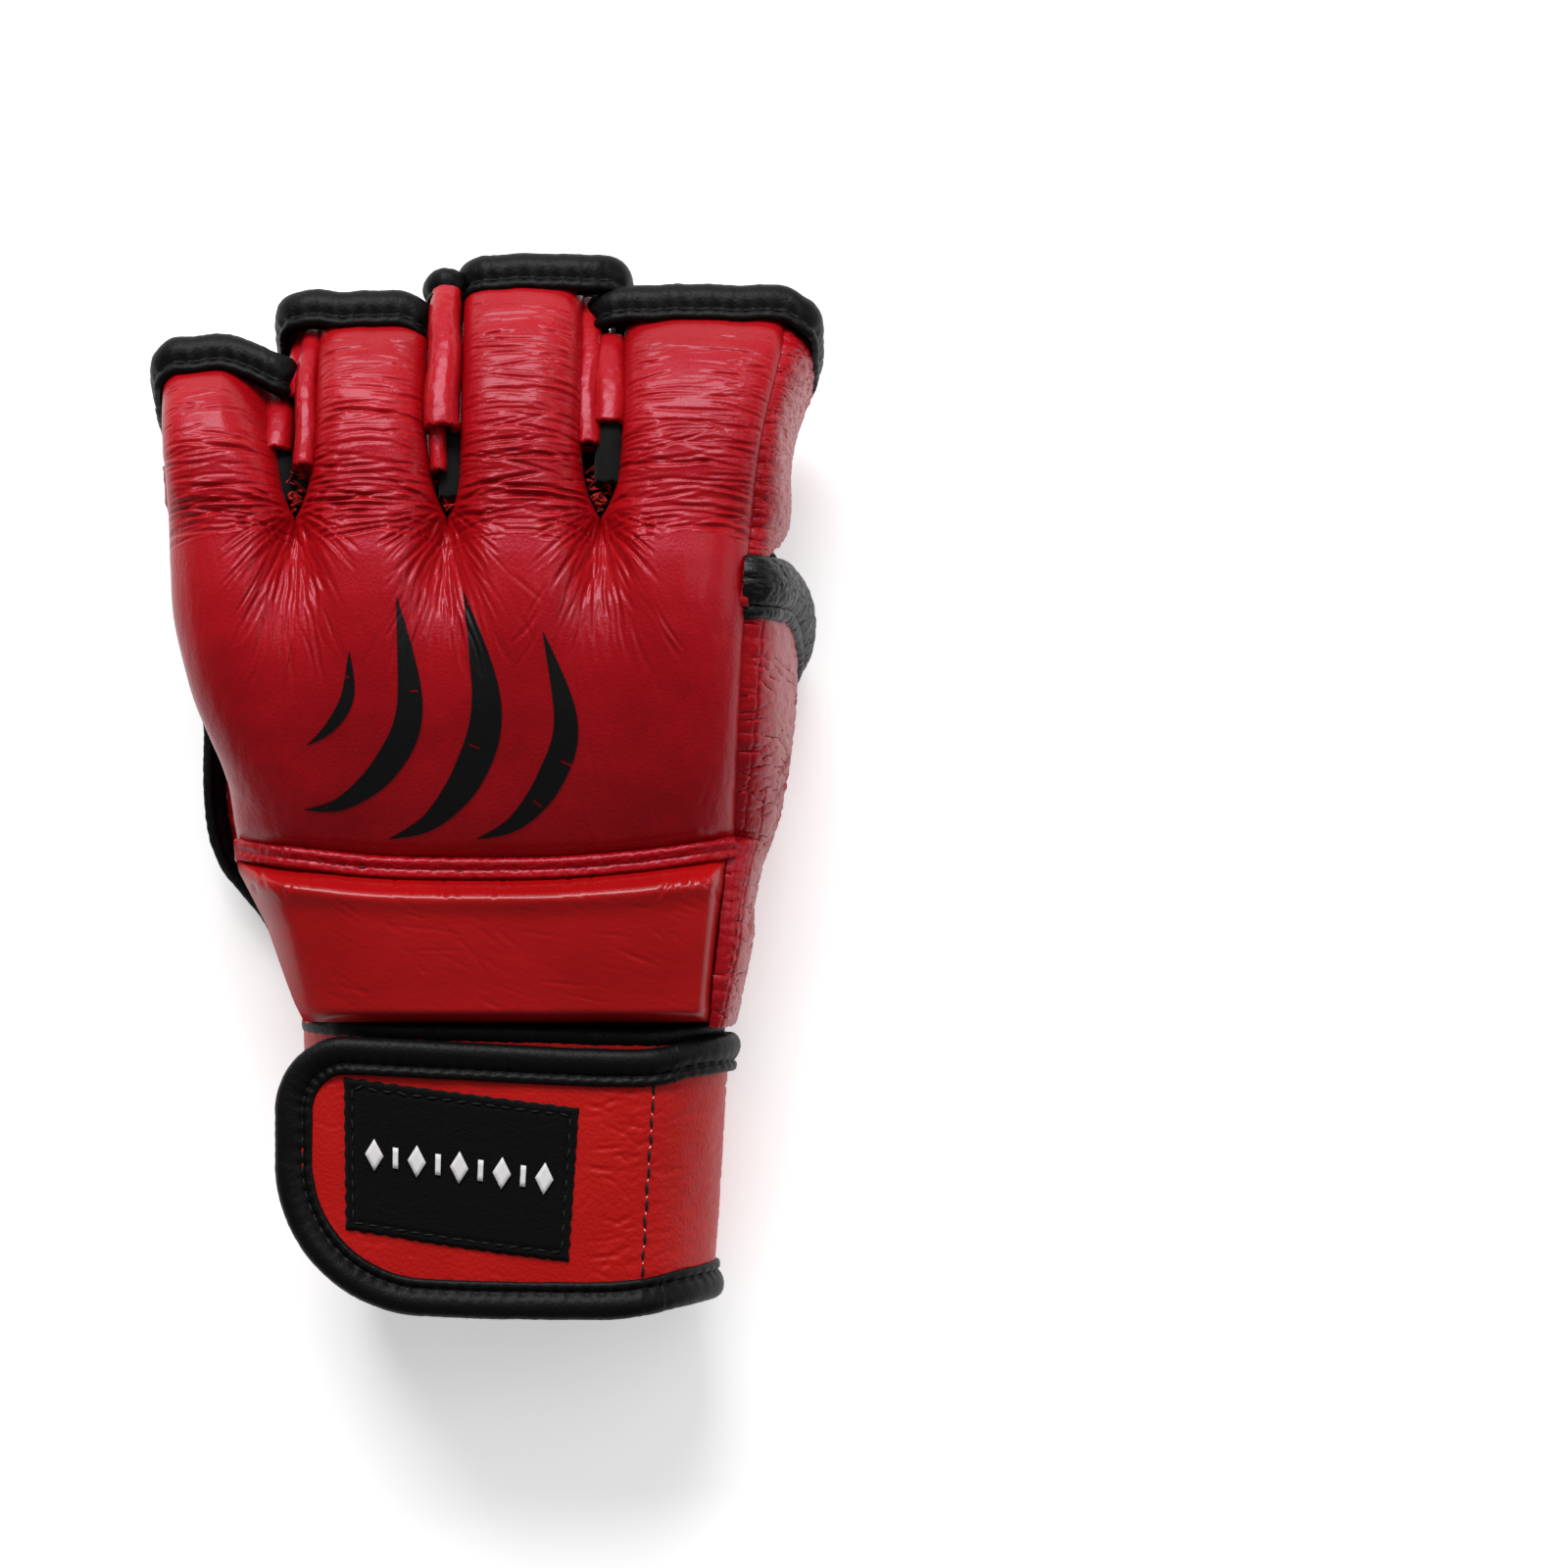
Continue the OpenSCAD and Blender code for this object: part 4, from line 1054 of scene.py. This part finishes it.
def stadium(s, w, h, z0):
    """Coordinates and outward normal on a flat-topped loop, s along it from the top's middle to the thumb."""
    s = np.asarray(s, float)
    l, r = (w - h) / 2, h / 2
    x = X_WRIST + np.clip(s, -l, l)
    z = z0 + h + 0 * s
    nx, nz = 0 * s, 1 + 0 * s
    bend = (s > l) & (s <= l + math.pi * r)
    a = (s - l) / r
    x = np.where(bend, X_WRIST + l + r * np.sin(a), x)
    z = np.where(bend, z0 + r + r * np.cos(a), z)
    nx, nz = np.where(bend, np.sin(a), nx), np.where(bend, np.cos(a), nz)
    flat = (s > l + math.pi * r) & (s <= 3 * l + math.pi * r)
    x = np.where(flat, X_WRIST + l - (s - l - math.pi * r), x)
    z, nx, nz = np.where(flat, z0, z), np.where(flat, 0, nx), np.where(flat, -1, nz)
    back = s > 3 * l + math.pi * r
    a = (s - 3 * l - math.pi * r) / r
    x = np.where(back, X_WRIST - l - r * np.sin(a), x)
    z = np.where(back, z0 + r - r * np.cos(a), z)
    nx, nz = np.where(back, -np.sin(a), nx), np.where(back, -np.cos(a), nz)
    last = s > 3 * l + 2 * math.pi * r
    x = np.where(last, X_WRIST - l + (s - 3 * l - 2 * math.pi * r), x)
    return x, np.where(last, z0 + h, z), np.where(last, 0, nx), np.where(last, 1, nz)

top_bow = table([(-60, 2.2), (-34, 2.2), (-8, 1.0), (20, -0.4), (36, -0.4), (46, 1.4), (60, 2.2)])
low_bow = table([(-60, 0.8), (-30, 0.2), (-6, -1.2), (22, -1.6), (36, -0.8), (46, 0.6), (60, 2.2)])
BINDING_RISE = 2.5      # the strap stands on its bindings, so its underside is this far off the table


def relax(p, inner=False):
    """The strap's pull: its edges bow, it narrows towards its lower edge, and it slips in under the tab."""
    p = np.array(p)
    x, y, z = p[..., 0], p[..., 1], p[..., 2]
    share = np.clip((y - Y_LOW) / (Y_TOP - Y_LOW), -0.1, 1.2)
    lift = smooth(z / 16)
    p[..., 1] = y + (mix(low_bow(x), top_bow(x), share)) * lift
    under = smooth((40.2 - z) / 2.0) * smooth((-x - 16) / 22) * (0.8 if inner else 1.0)
    narrow = (3.2 + 3.4 * (1 - share)) * smooth((x - 16) / 34)
    p[..., 0] = x - narrow + under * (3.2 + 6.5 * np.clip(1 - share, 0, 1) ** 1.4)
    p[..., 1] += under * (8.5 if inner else 7.5) * smooth((0.3 - share) / 0.3)
    if not inner:
        p[..., 1] -= under * 6.5 * smooth((share - 0.7) / 0.3)
    p[..., 2] = z + BINDING_RISE * (1 - smooth(z / 12))
    return p


FLAT_END = X_WRIST + (WRAP_W - WRAP_H) / 2


def strap_at(u, y, w=WRAP_W, h=WRAP_H, z0=0.0):
    """Point on the outer turn: u is x over the back of the wrist, and runs on round the thumb's side."""
    x, z, nx, nz = stadium(np.asarray(u, float) - X_WRIST, w, h, z0)
    over = np.asarray(u, float) < X_WRIST - (w - h) / 2
    x = np.where(over, u, x)
    return xyz(x, y, z), xyz(nx, 0 * x, nz)


TAB_X, R_TOP, R_LOW = -43.4, 15.0, 29.0     # the tab's left end and the radii of its corners
SPLIT = 41.0                                # the strap folds open here
AROUND = 3 * (WRAP_W - WRAP_H) / 2 + math.pi * WRAP_H / 2 + WRAP_H / 2 * (math.pi / 2 + 0.3) + X_WRIST

local = np.random.default_rng(41)
STRAP_STROKES = scatter(local, 130, (-34, 45), (-104, -60), (0.1, 0.5), (1.5, 4.5), (0.3, 0.5), (0.03, 0.10),
                        (0, 0.02))
STRAP_STROKES += scatter(local, 40, (23, 33), (-104, -60), (0.0, 0.25), (1.5, 4), 0.4, (0.08, 0.2),
                         (0, 0.02))
STRAP_STROKES += scatter(local, 150, (70, 190), (-104, -60), (0.0, 0.2), (3, 12), (0.4, 0.7), (0.1, 0.35),
                         (0, 0.01))


def strap_skin(u, y):
    """Point and normal on the strap's leather, with its sags and creases."""
    p, n = strap_at(u, y)
    q = xyz(u, y, 0 * u)
    sag = np.where(u < FLAT_END, 0.55 * fbm(q / 22.0 + 1.5, 2), 0.35 * fbm(q / 16.0 + 1.5, 2))
    droop = -1.4 * smooth((-28 - u) / 16)
    folds = 0.12 * (1 - 2.6 * np.abs(fbm(q / np.array([9.0, 2.2, 9]) + 2.2, 2))) * smooth((u - 22) / 12)
    fine = creases(q[..., 0], q[..., 1], STRAP_STROKES)
    return p + n * (sag + droop + folds + fine)[..., None], n


def tab_outline(inset, step=0.5):
    """The strap's outline: its lower edge from the thumb's side, round the tab's end and back on top."""
    x0, y0, y1 = TAB_X + inset, Y_LOW + inset, Y_TOP - inset
    r1, r2 = R_LOW - inset, R_TOP - inset
    a = np.linspace(-math.pi / 2, -math.pi, 30)
    low = np.stack([x0 + r1 + r1 * np.cos(a), y0 + r1 + r1 * np.sin(a)], 1)
    b = np.linspace(math.pi, math.pi / 2, 24)
    top = np.stack([x0 + r2 + r2 * np.cos(b), y1 - r2 + r2 * np.sin(b)], 1)
    path = np.concatenate([[[AROUND, y0]], low, top, [[AROUND, y1]]])
    return resample(path, step)


def tab_half(y):
    """Left end of the tab's leather at each y."""
    inset = 1.2
    y0, y1 = Y_LOW + inset, Y_TOP - inset
    r1, r2 = R_LOW - inset, R_TOP - inset
    x = np.full(np.shape(y), TAB_X + inset)
    a = np.clip((y0 + r1 - y) / r1, 0, 1)
    b = np.clip((y - (y1 - r2)) / r2, 0, 1)
    return x + r1 * (1 - np.sqrt(1 - a * a)) + r2 * (1 - np.sqrt(1 - b * b))


# leather of the strap: the tab and the part round the wrist are one strip
TAB_FOLD = ("tab", (0.038, -0.0816, 0.0436), (0.027, -0.0816, 0.0436))
y = np.linspace(Y_LOW + 1.3, Y_TOP - 1.3, 130)[:, None]
u = mix(tab_half(y), SPLIT, np.linspace(0, 1, 210)[None])
o = grid("strap_tab_leather", relax(strap_skin(u, y)[0]), RED_STRAP, thick=1.8)
place(o, blend=TAB_FOLD, replaces=["strap_tab"])
u = np.linspace(SPLIT - 0.8, AROUND, 420)[None] + 0 * y
p, n = strap_skin(u, y)
# a hair lower, so that it stays under the tab's leather where one lies on the other
o = grid("strap_round_wrist", relax(p - n * 0.02), RED_STRAP, thick=1.8)
place(o, "hand", replaces=["outer_wrap"])

# its binding, in one run, cut where the strap folds open
path = tab_outline(0.4)
ahead = path + 0.5 * unit(np.gradient(path, axis=0))
here, n = strap_at(path[:, 0], path[:, 1])
out = unit(np.cross(n, unit(strap_at(ahead[:, 0], ahead[:, 1])[0] - here)))
points = relax(strap_skin(path[:, 0], path[:, 1])[0] + n * 0.2)
a, b = [int(i) for i in np.where(np.diff(np.sign(path[:, 0] - SPLIT)) != 0)[0][:2]]
for name, rows, how in (("strap_binding_lower", slice(0, a + 2), {"replaces": ["outer_wrap_bindings"]}),
                        ("strap_binding_tab", slice(a, b + 2),
                         {"blend": TAB_FOLD, "replaces": ["tab_binding"]}),
                        ("strap_binding_top", slice(b, len(points)), {})):
    bind(name, points[rows], out[rows], n[rows], 1.08, pucker=0.10, seed=14.0, **how)


def inner_loop(inset, count):
    """Coordinates and normals round the strap's inner turn, inset from its outer face."""
    w, h = 89.0 - 2 * inset, 35.1 - 2 * inset
    return stadium(np.linspace(0, 2 * (w - h) + math.pi * h, count, endpoint=False), w, h, 2.9 + inset)


# inner turn, with its bound edge showing past the outer one
x, z, nx, nz = inner_loop(0.0, 220)
p = xyz(x[None], np.linspace(-106, -52.5, 40)[:, None], z[None])
o = grid("inner_turn", relax(p, True), RED_STRAP, wrap=True, flip=True, thick=2.0)
place(o, "hand", replaces=["inner_wrap"])
n = np.stack([nx, 0 * nx, nz], 1)
path = relax(np.stack([x + 0.4 * nx, -51.2 + 0.5 * np.sin(x * 0.07), z + 0.4 * nz], 1), True)
bind("inner_turn_binding", path + n * 0.4, np.tile([[0, 1.0, 0]], (len(path), 1)), n, 0.9,
     replaces=["inner_wrap_binding"], closed=True, pucker=0.10, seed=19.0)
x, z, nx, nz = inner_loop(2.8, 200)
p = wrinkled(xyz(x[None], np.linspace(-106, -48, 60)[:, None], z[None]), 3.0, 0.2, (8, 8, 8), wrap=True)
o = grid("wrist_lining_cloth", relax(p, True), LINING, wrap=True, flip=True, thick=0.8)
place(o, "hand", replaces=["wrist_lining"])

# line of stitches across the strap, with specks of painted highlight between them: tiny white capsules that
# stand for the glints in the gaps, not thread
sy = np.arange(Y_LOW + 5.5, Y_TOP - 5.5, 3.35)
points, n = strap_skin(35.0 + 1.6 * (sy - Y_LOW) / 54 + 0.15 * np.sin(sy), sy)
o = stitch_and_highlight_capsules("cross_stitches", relax(points) + n * 0.05, np.tile([[0.04, 1.0, 0]], (len(sy), 1)), n,
            THREAD_BLACK, 2.7, 0.62)
place(o, blend=TAB_FOLD, replaces=["tab_stitches"])
# painted highlight: tiny white capsules midway between the stitches stand for the glints in the gaps
sy = sy[:-1] + 1.7
points, n = strap_skin(35.0 + 1.6 * (sy - Y_LOW) / 54, sy)
o = stitch_and_highlight_capsules("cross_stitches_painted_highlight", relax(points), np.tile([[0.3, 1.0, 0]], (len(sy), 1)), n,
            WHITE_THREAD_AND_HIGHLIGHT, 0.7, 0.22, jitter=0.6)
place(o, blend=TAB_FOLD)

# ---------------------------------------- label, hook and loop


def label_point(a, b):
    """a and b run 0 to 1 across and up the label, which is sewn on a little askew."""
    low = mix(np.array([-29.0, -92.6]), np.array([16.6, -97.2]), a[..., None])
    top = mix(np.array([-29.4, -62.6]), np.array([18.8, -66.4]), a[..., None])
    xy = mix(low, top, b[..., None])
    return xy[..., 0], xy[..., 1]


def rim(t):
    """Uneven cut edge of the label."""
    return 0.10 * np.sin(t * 95) + 0.22 * perlin(np.stack([t * 31, 0 * t, 0 * t + 4], -1))


LABEL_WIDE, LABEL_HIGH = 48, 31
aa, bb = np.broadcast_arrays(np.linspace(0, 1, 160)[None], np.linspace(0, 1, 110)[:, None])
lx, ly = label_point(aa, bb)
ly = ly + rim(aa) * np.clip((np.abs(bb - 0.5) - 0.47) / 0.03, 0, 1) * np.sign(bb - 0.5)
lx = lx + rim(bb * 0.7) * np.clip((np.abs(aa - 0.5) - 0.48) / 0.02, 0, 1) * np.sign(aa - 0.5)
p, n = strap_skin(lx, ly)
edge = np.minimum(np.minimum(aa, 1 - aa) * LABEL_WIDE, np.minimum(bb, 1 - bb) * LABEL_HIGH)
lift = 0.85 * (1 - (1 - np.clip(edge / 0.9, 0, 1)) ** 2) - 0.35 * np.exp(-((edge - 1.9) / 0.5) ** 2)
lift = lift + 0.18 * fbm(xyz(lx, ly, 0 * lx) / 3.0, 2) + 0.07 * fbm(xyz(lx, ly, 0 * lx) / 0.6, 2)
label = grid("label_cloth", relax(p + n * (lift + 0.05)[..., None]), FUZZ)
place(label, "tab", replaces=["label_patch"])
thicken(label, 0.6)
run = []
for start, end in (((0.03, 0.055), (0.97, 0.055)), ((0.965, 0.055), (0.965, 0.945)),
                   ((0.97, 0.945), (0.03, 0.945)), ((0.035, 0.945), (0.035, 0.055))):
    count = int(max(abs(end[0] - start[0]) * LABEL_WIDE, abs(end[1] - start[1]) * LABEL_HIGH) / 2.9)
    t = (np.arange(count) + 0.5) / count
    run.append(np.stack([mix(start[0], end[0], t), mix(start[1], end[1], t)], 1))
run = np.concatenate(run)
p, n = strap_skin(*label_point(run[:, 0], run[:, 1]))
o = stitch_and_highlight_capsules("label_stitches", relax(p + n * 0.75), np.gradient(p, axis=0), n, THREAD_BLACK, 2.3, 0.5,
            jitter=0.12)
place(o, "tab")

# a plain mark in pale thread: a row of lozenges and bars that stands for no word
LOZENGE, BAR = [(-1, 0), (0, 1), (1, 0), (0, -1)], [(-0.45, -0.8), (-0.45, 0.8), (0.45, 0.8), (0.45, -0.8)]
verts, faces = [], []
m = 5
s, t = (q[..., None] for q in np.meshgrid(np.linspace(0, 1, m), np.linspace(0, 1, m), indexing="ij"))
for i in range(9):
    c = mix(0.13, 0.87, i / 8)
    w, h = (0.026, 0.085) if i % 2 else (0.040, 0.105)
    corner = np.array([(c + w * across, 0.52 + h * along) for across, along in (BAR if i % 2 else LOZENGE)])
    ab = mix(mix(corner[0], corner[1], t), mix(corner[3], corner[2], t), s)
    p, n = strap_skin(*label_point(ab[..., 0], ab[..., 1]))
    verts.append(relax(p + n * 1.12).reshape(-1, 3))
    faces.append(grid_faces(m, m, start=i * m * m))
o = new_object("label_mark", np.concatenate(verts), np.concatenate(faces), WHITE_THREAD_AND_HIGHLIGHT)
thicken(o, 0.25)
place(o, "tab")


def patch(name, x0, x1, y0, y1, z, body, node, seed):
    """Field of hooks or loops, facing the other one when the strap is closed."""
    x, y = np.meshgrid(np.linspace(x0, x1, 70), np.linspace(y0, y1, 60))
    fuzz = 0.12 * fbm(xyz(x, y, seed) / 0.9, 2)
    o = grid(name, xyz(x, y, z + fuzz), FUZZ, thick=0.8)
    place(o, body, replaces=[node])


patch("loop_field", X_WRIST - 24, X_WRIST + 24, -102.2, -61, 38.9, "hand", "loop_patch", 1)
patch("hook_field", X_WRIST - 30, X_WRIST + 16, -100.2, -63, 40.2, "tab", "hook_patch", 5)
# ---------------------------------------- palm


def palm_edge(name, path, outward, size, seed, node, up=(0, 0, -1.0)):
    """Bound edge on the palm side, facing down; outward is a direction or a function of the points."""
    q = resample(catmull(path, 12), 0.5)
    d = unit(np.gradient(q, axis=0))
    face = np.tile(np.array([up], float), (len(q), 1))
    face = unit(face - d * (face * d).sum(1, keepdims=True))
    out = np.cross(d, face)
    hint = outward(q) if callable(outward) else np.array([outward], float)
    out = out * np.sign((out * hint).sum())
    bind(name, q, out, face, size, replaces=[node], pucker=0.16, seed=seed)


# strap across the palm at the roots of the fingers
bar_low = catmull([(-57.1, 29.9, 7), (-43.1, 29.9, 3.0), (-21.1, 32.9, 3.0), (-7.1, 36.9, 7),
                   (2.9, 38.9, 11), (30.9, 41.9, 11.5), (53.9, 42.9, 11.5)], 14)
bar_high = catmull([(-57.1, 51.9, 7), (-41.1, 45.9, 3.0), (-21.1, 44.9, 3.0), (-7.1, 47.9, 7),
                    (2.9, 50.9, 11), (30.9, 51.9, 11.5), (53.9, 52.4, 11.5)], 14)
bar_low, bar_high = resample(bar_low, 0.7)[:150], resample(bar_high, 0.7)[:150]
m = min(len(bar_low), len(bar_high))
p = mix(bar_low[None, :m], bar_high[None, :m], np.linspace(0.06, 0.94, 30)[:, None, None])
p = wrinkled(p, 21.0, 0.42, (4.5, 3.2, 4.0), 0.7)
o = grid("palm_bar_leather", p, RED_PAD, flip=True, thick=1.2)
place(o, "hand", replaces=["palm_bar"])
palm_edge("palm_bar_edge_low", bar_low[:m:12], (0, -1, 0), 0.82, 22.0, "palm_bar_lower_binding")
palm_edge("palm_bar_edge_high", bar_high[:m:12], (0, 1, 0), 0.82, 23.0, "palm_bar_upper_binding")

# little finger's side of the open palm
edge = [(float(ulnar_low(y)) - 0.6, y, 6.0) for y in (27, 19, 11, 3, -5, -11, -16, -20, -26, -33)]
palm_edge("ulnar_edge", edge, (0.5, 0, -0.87), 0.86, 24.0, "ulnar_binding", up=(-0.87, 0, -0.5))

# leather over the ball of the thumb
thenar_in = table([(-50.1, -0.1), (-34.1, 10.9), (-28.1, 17.9), (-18.1, 23.6), (-4.1, 23.9), (11.9, 18.0),
                   (25.9, 12.2), (41.9, 10.3), (52.9, 16.0), (60.0, 26.9)])
thenar_out = table([(-50.1, 49.2), (26.9, 59.4), (33.9, 60.4), (46.9, 54.4), (55.9, 44.6), (60.0, 35.4)])
y = np.linspace(-50.0, 60.0, 220)[:, None]
u = np.linspace(0, 1, 140)[None]
z = 5.6 - 0.7 * np.sin(math.pi * u) * smooth((-8 - y) / 20)
p = wrinkled(xyz(mix(thenar_in(y), thenar_out(y), u), y, z), 25.0, 0.30, (5.0, 3.2, 5.0), 0.6)
o = grid("thenar_leather", p, RED_PAD, flip=True, thick=1.2)
place(o, "hand", replaces=["thenar_panel"])
edge = ((62.9, 33.9), (57.9, 47.9), (44.9, 59.9), (30.9, 62.9), (15.9, 55.9), (7.9, 41.9), (9.9, 25.9),
        (15.9, 11.9), (21.9, -4.1), (20.9, -18.1), (12.9, -27.1), (3.9, -33.1))
edge = [(x, y, 5.5) for x, y in edge]
palm_edge("thenar_edge", edge, lambda q: q - np.array([36.0, 20.0, 5.5]), 0.86, 26.0, "thenar_binding")


def cell(name, outline, node, seed):
    """Foam cell under the leather: a crowned pad with steep sides, quilted down round its outline."""
    edge = resample(catmull(outline, 14, True), 0.8, True)
    centre = edge.mean(0)
    rings = np.linspace(0.0, 1.0, 60)[:, None, None]
    xy = mix(centre, edge[None], rings ** 0.8)
    rho = np.repeat(rings[..., 0] ** 0.8, len(edge), 1)
    gap = np.clip(1 - rho, 0, 1) * np.linalg.norm(edge - centre, axis=1)[None]
    rise = 1 - (1 - np.clip(gap / 5.5, 0, 1)) ** 2.4
    q = np.concatenate([xy, np.full(xy.shape[:2] + (1,), seed)], -1)
    puckers = perlin(q / 2.0) * np.exp(-((gap - 1.6) / 1.4) ** 2)
    z = 5.4 - 4.9 * rise + 0.18 * fbm(q / 9.0, 2) * rise + 0.22 * puckers
    z = np.maximum(z, 0.15)
    p = np.concatenate([xy, z[..., None]], -1)
    o = grid(name, p, RED_PAD, wrap=True, thick=0.8)
    weld(o)
    place(o, "hand", replaces=[node])
    return edge, centre


outline = [(15, 50), (23.5, 56), (35, 56), (45, 50.5), (51.5, 42), (54.8, 33), (50, 28.5), (39, 21.5),
           (25, 14), (18.5, 17), (14.5, 26), (12.8, 38)]
cell("thenar_cell_upper", outline, "thenar_foam_upper", 3.0)
outline = [(26, 11.2), (40, 18.2), (52, 25.2), (57, 23), (59.6, 14), (59.4, 4), (54.5, -6), (45, -10.6),
           (36, -9), (28.5, -2), (24.2, 6)]
lower, centre = cell("thenar_cell_lower", outline, "thenar_foam_lower", 8.0)
spokes = lower - centre
ring = centre + spokes * (1 + 1.9 / np.linalg.norm(spokes, axis=1, keepdims=True))
points, d = along_path(np.concatenate([ring, np.full((len(ring), 1), 4.95)], 1), 3.1, True)
o = stitch_and_highlight_capsules("thenar_stitches", points, d, np.tile([[0, 0, -1.0]], (len(points), 1)), THREAD_RED, 2.3, 0.55)
place(o, "hand")

# slanting edge of the strap's first turn
cuff = resample(catmull([(-38.5, -29.1, 4.2), (-25.5, -32.6, 2.6), (-0.5, -40.1, 2.5), (22.5, -45.6, 2.5),
                         (42.5, -47.6, 2.5)], 16), 0.8)
x, y, z = (cuff[None, :, i] for i in range(3))
t = np.linspace(0, 1, 36)[:, None]
p = wrinkled(xyz(x, mix(-54.0, y - 1.0, t), mix(3.1, z + 0.6, t)), 28.0, 0.18, (3.0, 6.0, 4.0))
o = grid("palm_cuff_leather", p, RED_STRAP, flip=True, thick=1.2)
place(o, "hand", replaces=["palm_cuff"])
palm_edge("cuff_edge", cuff[::10], (0, 1, 0), 0.84, 29.0, "cuff_binding")

# lining: a stretched cloth under the back of the hand, and the backs of the side panels
y = np.linspace(-49, 56.0, 120)[:, None]
u = np.linspace(-1, 1, 120)[None]
x = mix(edge_left(y) + 4.0, furrow_x(y) - 2.0, (u + 1) / 2)
p = wrinkled(xyz(x, y, 31.0 - 3.6 * np.abs(u) ** 3), 31.0, 0.3, (12, 9, 9))
o = grid("dorsal_lining_cloth", p, LINING, flip=True, thick=1.0)
place(o, "hand", replaces=["dorsal_lining"])
t = np.linspace(0.04, 0.99, 60)[None]
y = np.linspace(-49, 54.0, 120)[:, None]
x0, z0 = edge_left(y) + 1.6, edge_left_z(y) + 1.0
x, z = side_section(x0, z0 - 2.0, ulnar_low(y) + 0.5, 6.9 + 0 * y, x0 - 2.3, t, 0.8)
p = wrinkled(xyz(x + 2.6, y, z), 33.0, 0.2, (9, 9, 9))
place(grid("side_lining_little", p, LINING, thick=0.5), "hand")
y = mix(-49, lip_low(t) - 1.2, np.linspace(0, 1, 120)[:, None])
x, z = thumb_side(y, t, 3.0, 6.6)
p = wrinkled(xyz(x - 2.7, y, z), 35.0, 0.2, (9, 9, 9))
place(grid("side_lining_thumb", p, LINING, flip=True, thick=0.5), "hand")

# ---------------------------------------- emblem printed on the knuckle pad


def pad_skin(x, y, lift):
    """Point on the knuckle pad's leather at x and y, a little above it."""
    v = np.interp(y, SPINES[1].line[:, 0], SPINES[1].s)
    for _ in range(2):
        p = cover_points(1, x, v)
        v = v + (y - p[..., 1])
    p = cover_points(1, x, v)
    eps = 0.3
    across = cover_points(1, x + eps, v) - cover_points(1, x - eps, v)
    along = cover_points(1, x, v + eps) - cover_points(1, x, v - eps)
    return p + unit(np.cross(across, along)) * lift


COLUMNS = 15
BLADES = [
    # centre line, widest, where it is widest
    ([(-37, -6), (-29, -4.5), (-20, 3), (-15, 15), (-17.5, 37)], 5.6, 0.45),
    ([(-20, -12), (-11, -8), (-3, 2), (0.5, 16), (-4, 38)], 6.6, 0.45),
    ([(-2, -12), (6, -8.5), (13, 0), (16.5, 12), (12, 30)], 5.4, 0.45),
    ([(-36, 7), (-31, 11), (-27.5, 17), (-27, 26)], 2.6, 0.5),
]
verts, faces, base = [], [], 0
local = np.random.default_rng(77)
for line, width, peak in BLADES:
    q = resample(catmull(line, 30), 0.45)
    d = unit(np.gradient(q, axis=0))
    t = np.linspace(0, 1, len(q))
    swell = np.where(t < peak, t / peak, (1 - t) / (1 - peak))
    w = width / 2 * np.sin(swell * math.pi / 2) + 0.05
    # these draws go unused, but without them the cracks would lie elsewhere
    local.normal(size=(len(q), 2))
    sideways = np.stack([-d[:, 1], d[:, 0]], 1)
    xy = q[:, None] + (np.linspace(-1, 1, COLUMNS)[None] * w[:, None])[..., None] * sideways[:, None]
    p = pad_skin(xy[..., 0], xy[..., 1], 0.18)
    keep = np.ones((len(q) - 1, COLUMNS - 1), bool)
    for _ in range(1 + len(q) // 90):      # small cracks in the film
        i, j, m = local.integers(3, len(q) - 3), local.integers(0, 9), local.integers(3, 8)
        keep[i, j:j + m] = False
    verts.append(p.reshape(-1, 3))
    faces.append(grid_faces(len(q), COLUMNS)[keep.ravel()] + base)
    base += len(q) * COLUMNS
place(new_object("emblem", np.concatenate(verts), np.concatenate(faces), INK), "hand")

# ---------------------------------------- floor, light, camera


def area(name, location, target, size, power):
    light = bpy.data.lights.new(name, "AREA")
    light.shape = "RECTANGLE"
    light.size, light.size_y = size
    light.energy = power
    o = bpy.data.objects.new(name, light)
    o.location = location
    o.rotation_euler = (Vector(target) - Vector(location)).to_track_quat("-Z", "Y").to_euler()
    bpy.context.scene.collection.objects.link(o)


FLOOR_Z, FLOOR_HALF = -0.05, 3000
floor_mat = node_material("floor", (0.93, 0.93, 0.935), 0.7, spec=0.1)
floor_shader = floor_mat.node_tree.nodes["Principled BSDF"]
floor_shader.inputs["Emission Color"].default_value = (1, 1, 1, 1)
floor_shader.inputs["Emission Strength"].default_value = 0.42
corners = [(x * FLOOR_HALF, y * FLOOR_HALF, FLOOR_Z) for x, y in ((-1, -1), (1, -1), (1, 1), (-1, 1))]
fl = new_object("floor", corners, [(0, 1, 2, 3)], floor_mat, flat=True)
area("key", (-0.35, 1.75, 1.32), (0, 0.0, 0.03), (1.6, 0.9), 64)
area("top", (0.9, 1.0, 2.1), (0, 0, 0), (1.2, 1.2), 9)
area("side", (1.7, 0.3, 0.8), (0, 0, 0.03), (0.9, 0.9), 5)
world = bpy.data.worlds.new("studio")
world.use_nodes = True
world.node_tree.nodes["Background"].inputs["Color"].default_value = (1, 1, 1, 1)
world.node_tree.nodes["Background"].inputs["Strength"].default_value = 0.20
bpy.context.scene.world = world
bpy.context.scene.view_settings.view_transform = "Standard"

SENSOR = 36
FRAME_WIDTH = 0.32      # metres of table across the picture
CAMERA_HEIGHT = 1.15
cam = bpy.data.cameras.new("camera")
cam.sensor_width = SENSOR
cam.lens = SENSOR * CAMERA_HEIGHT / FRAME_WIDTH
camera = bpy.data.objects.new("camera", cam)
camera.location = (0.0606, -0.0008, 0.045 + CAMERA_HEIGHT)
bpy.context.scene.collection.objects.link(camera)
bpy.context.scene.camera = camera
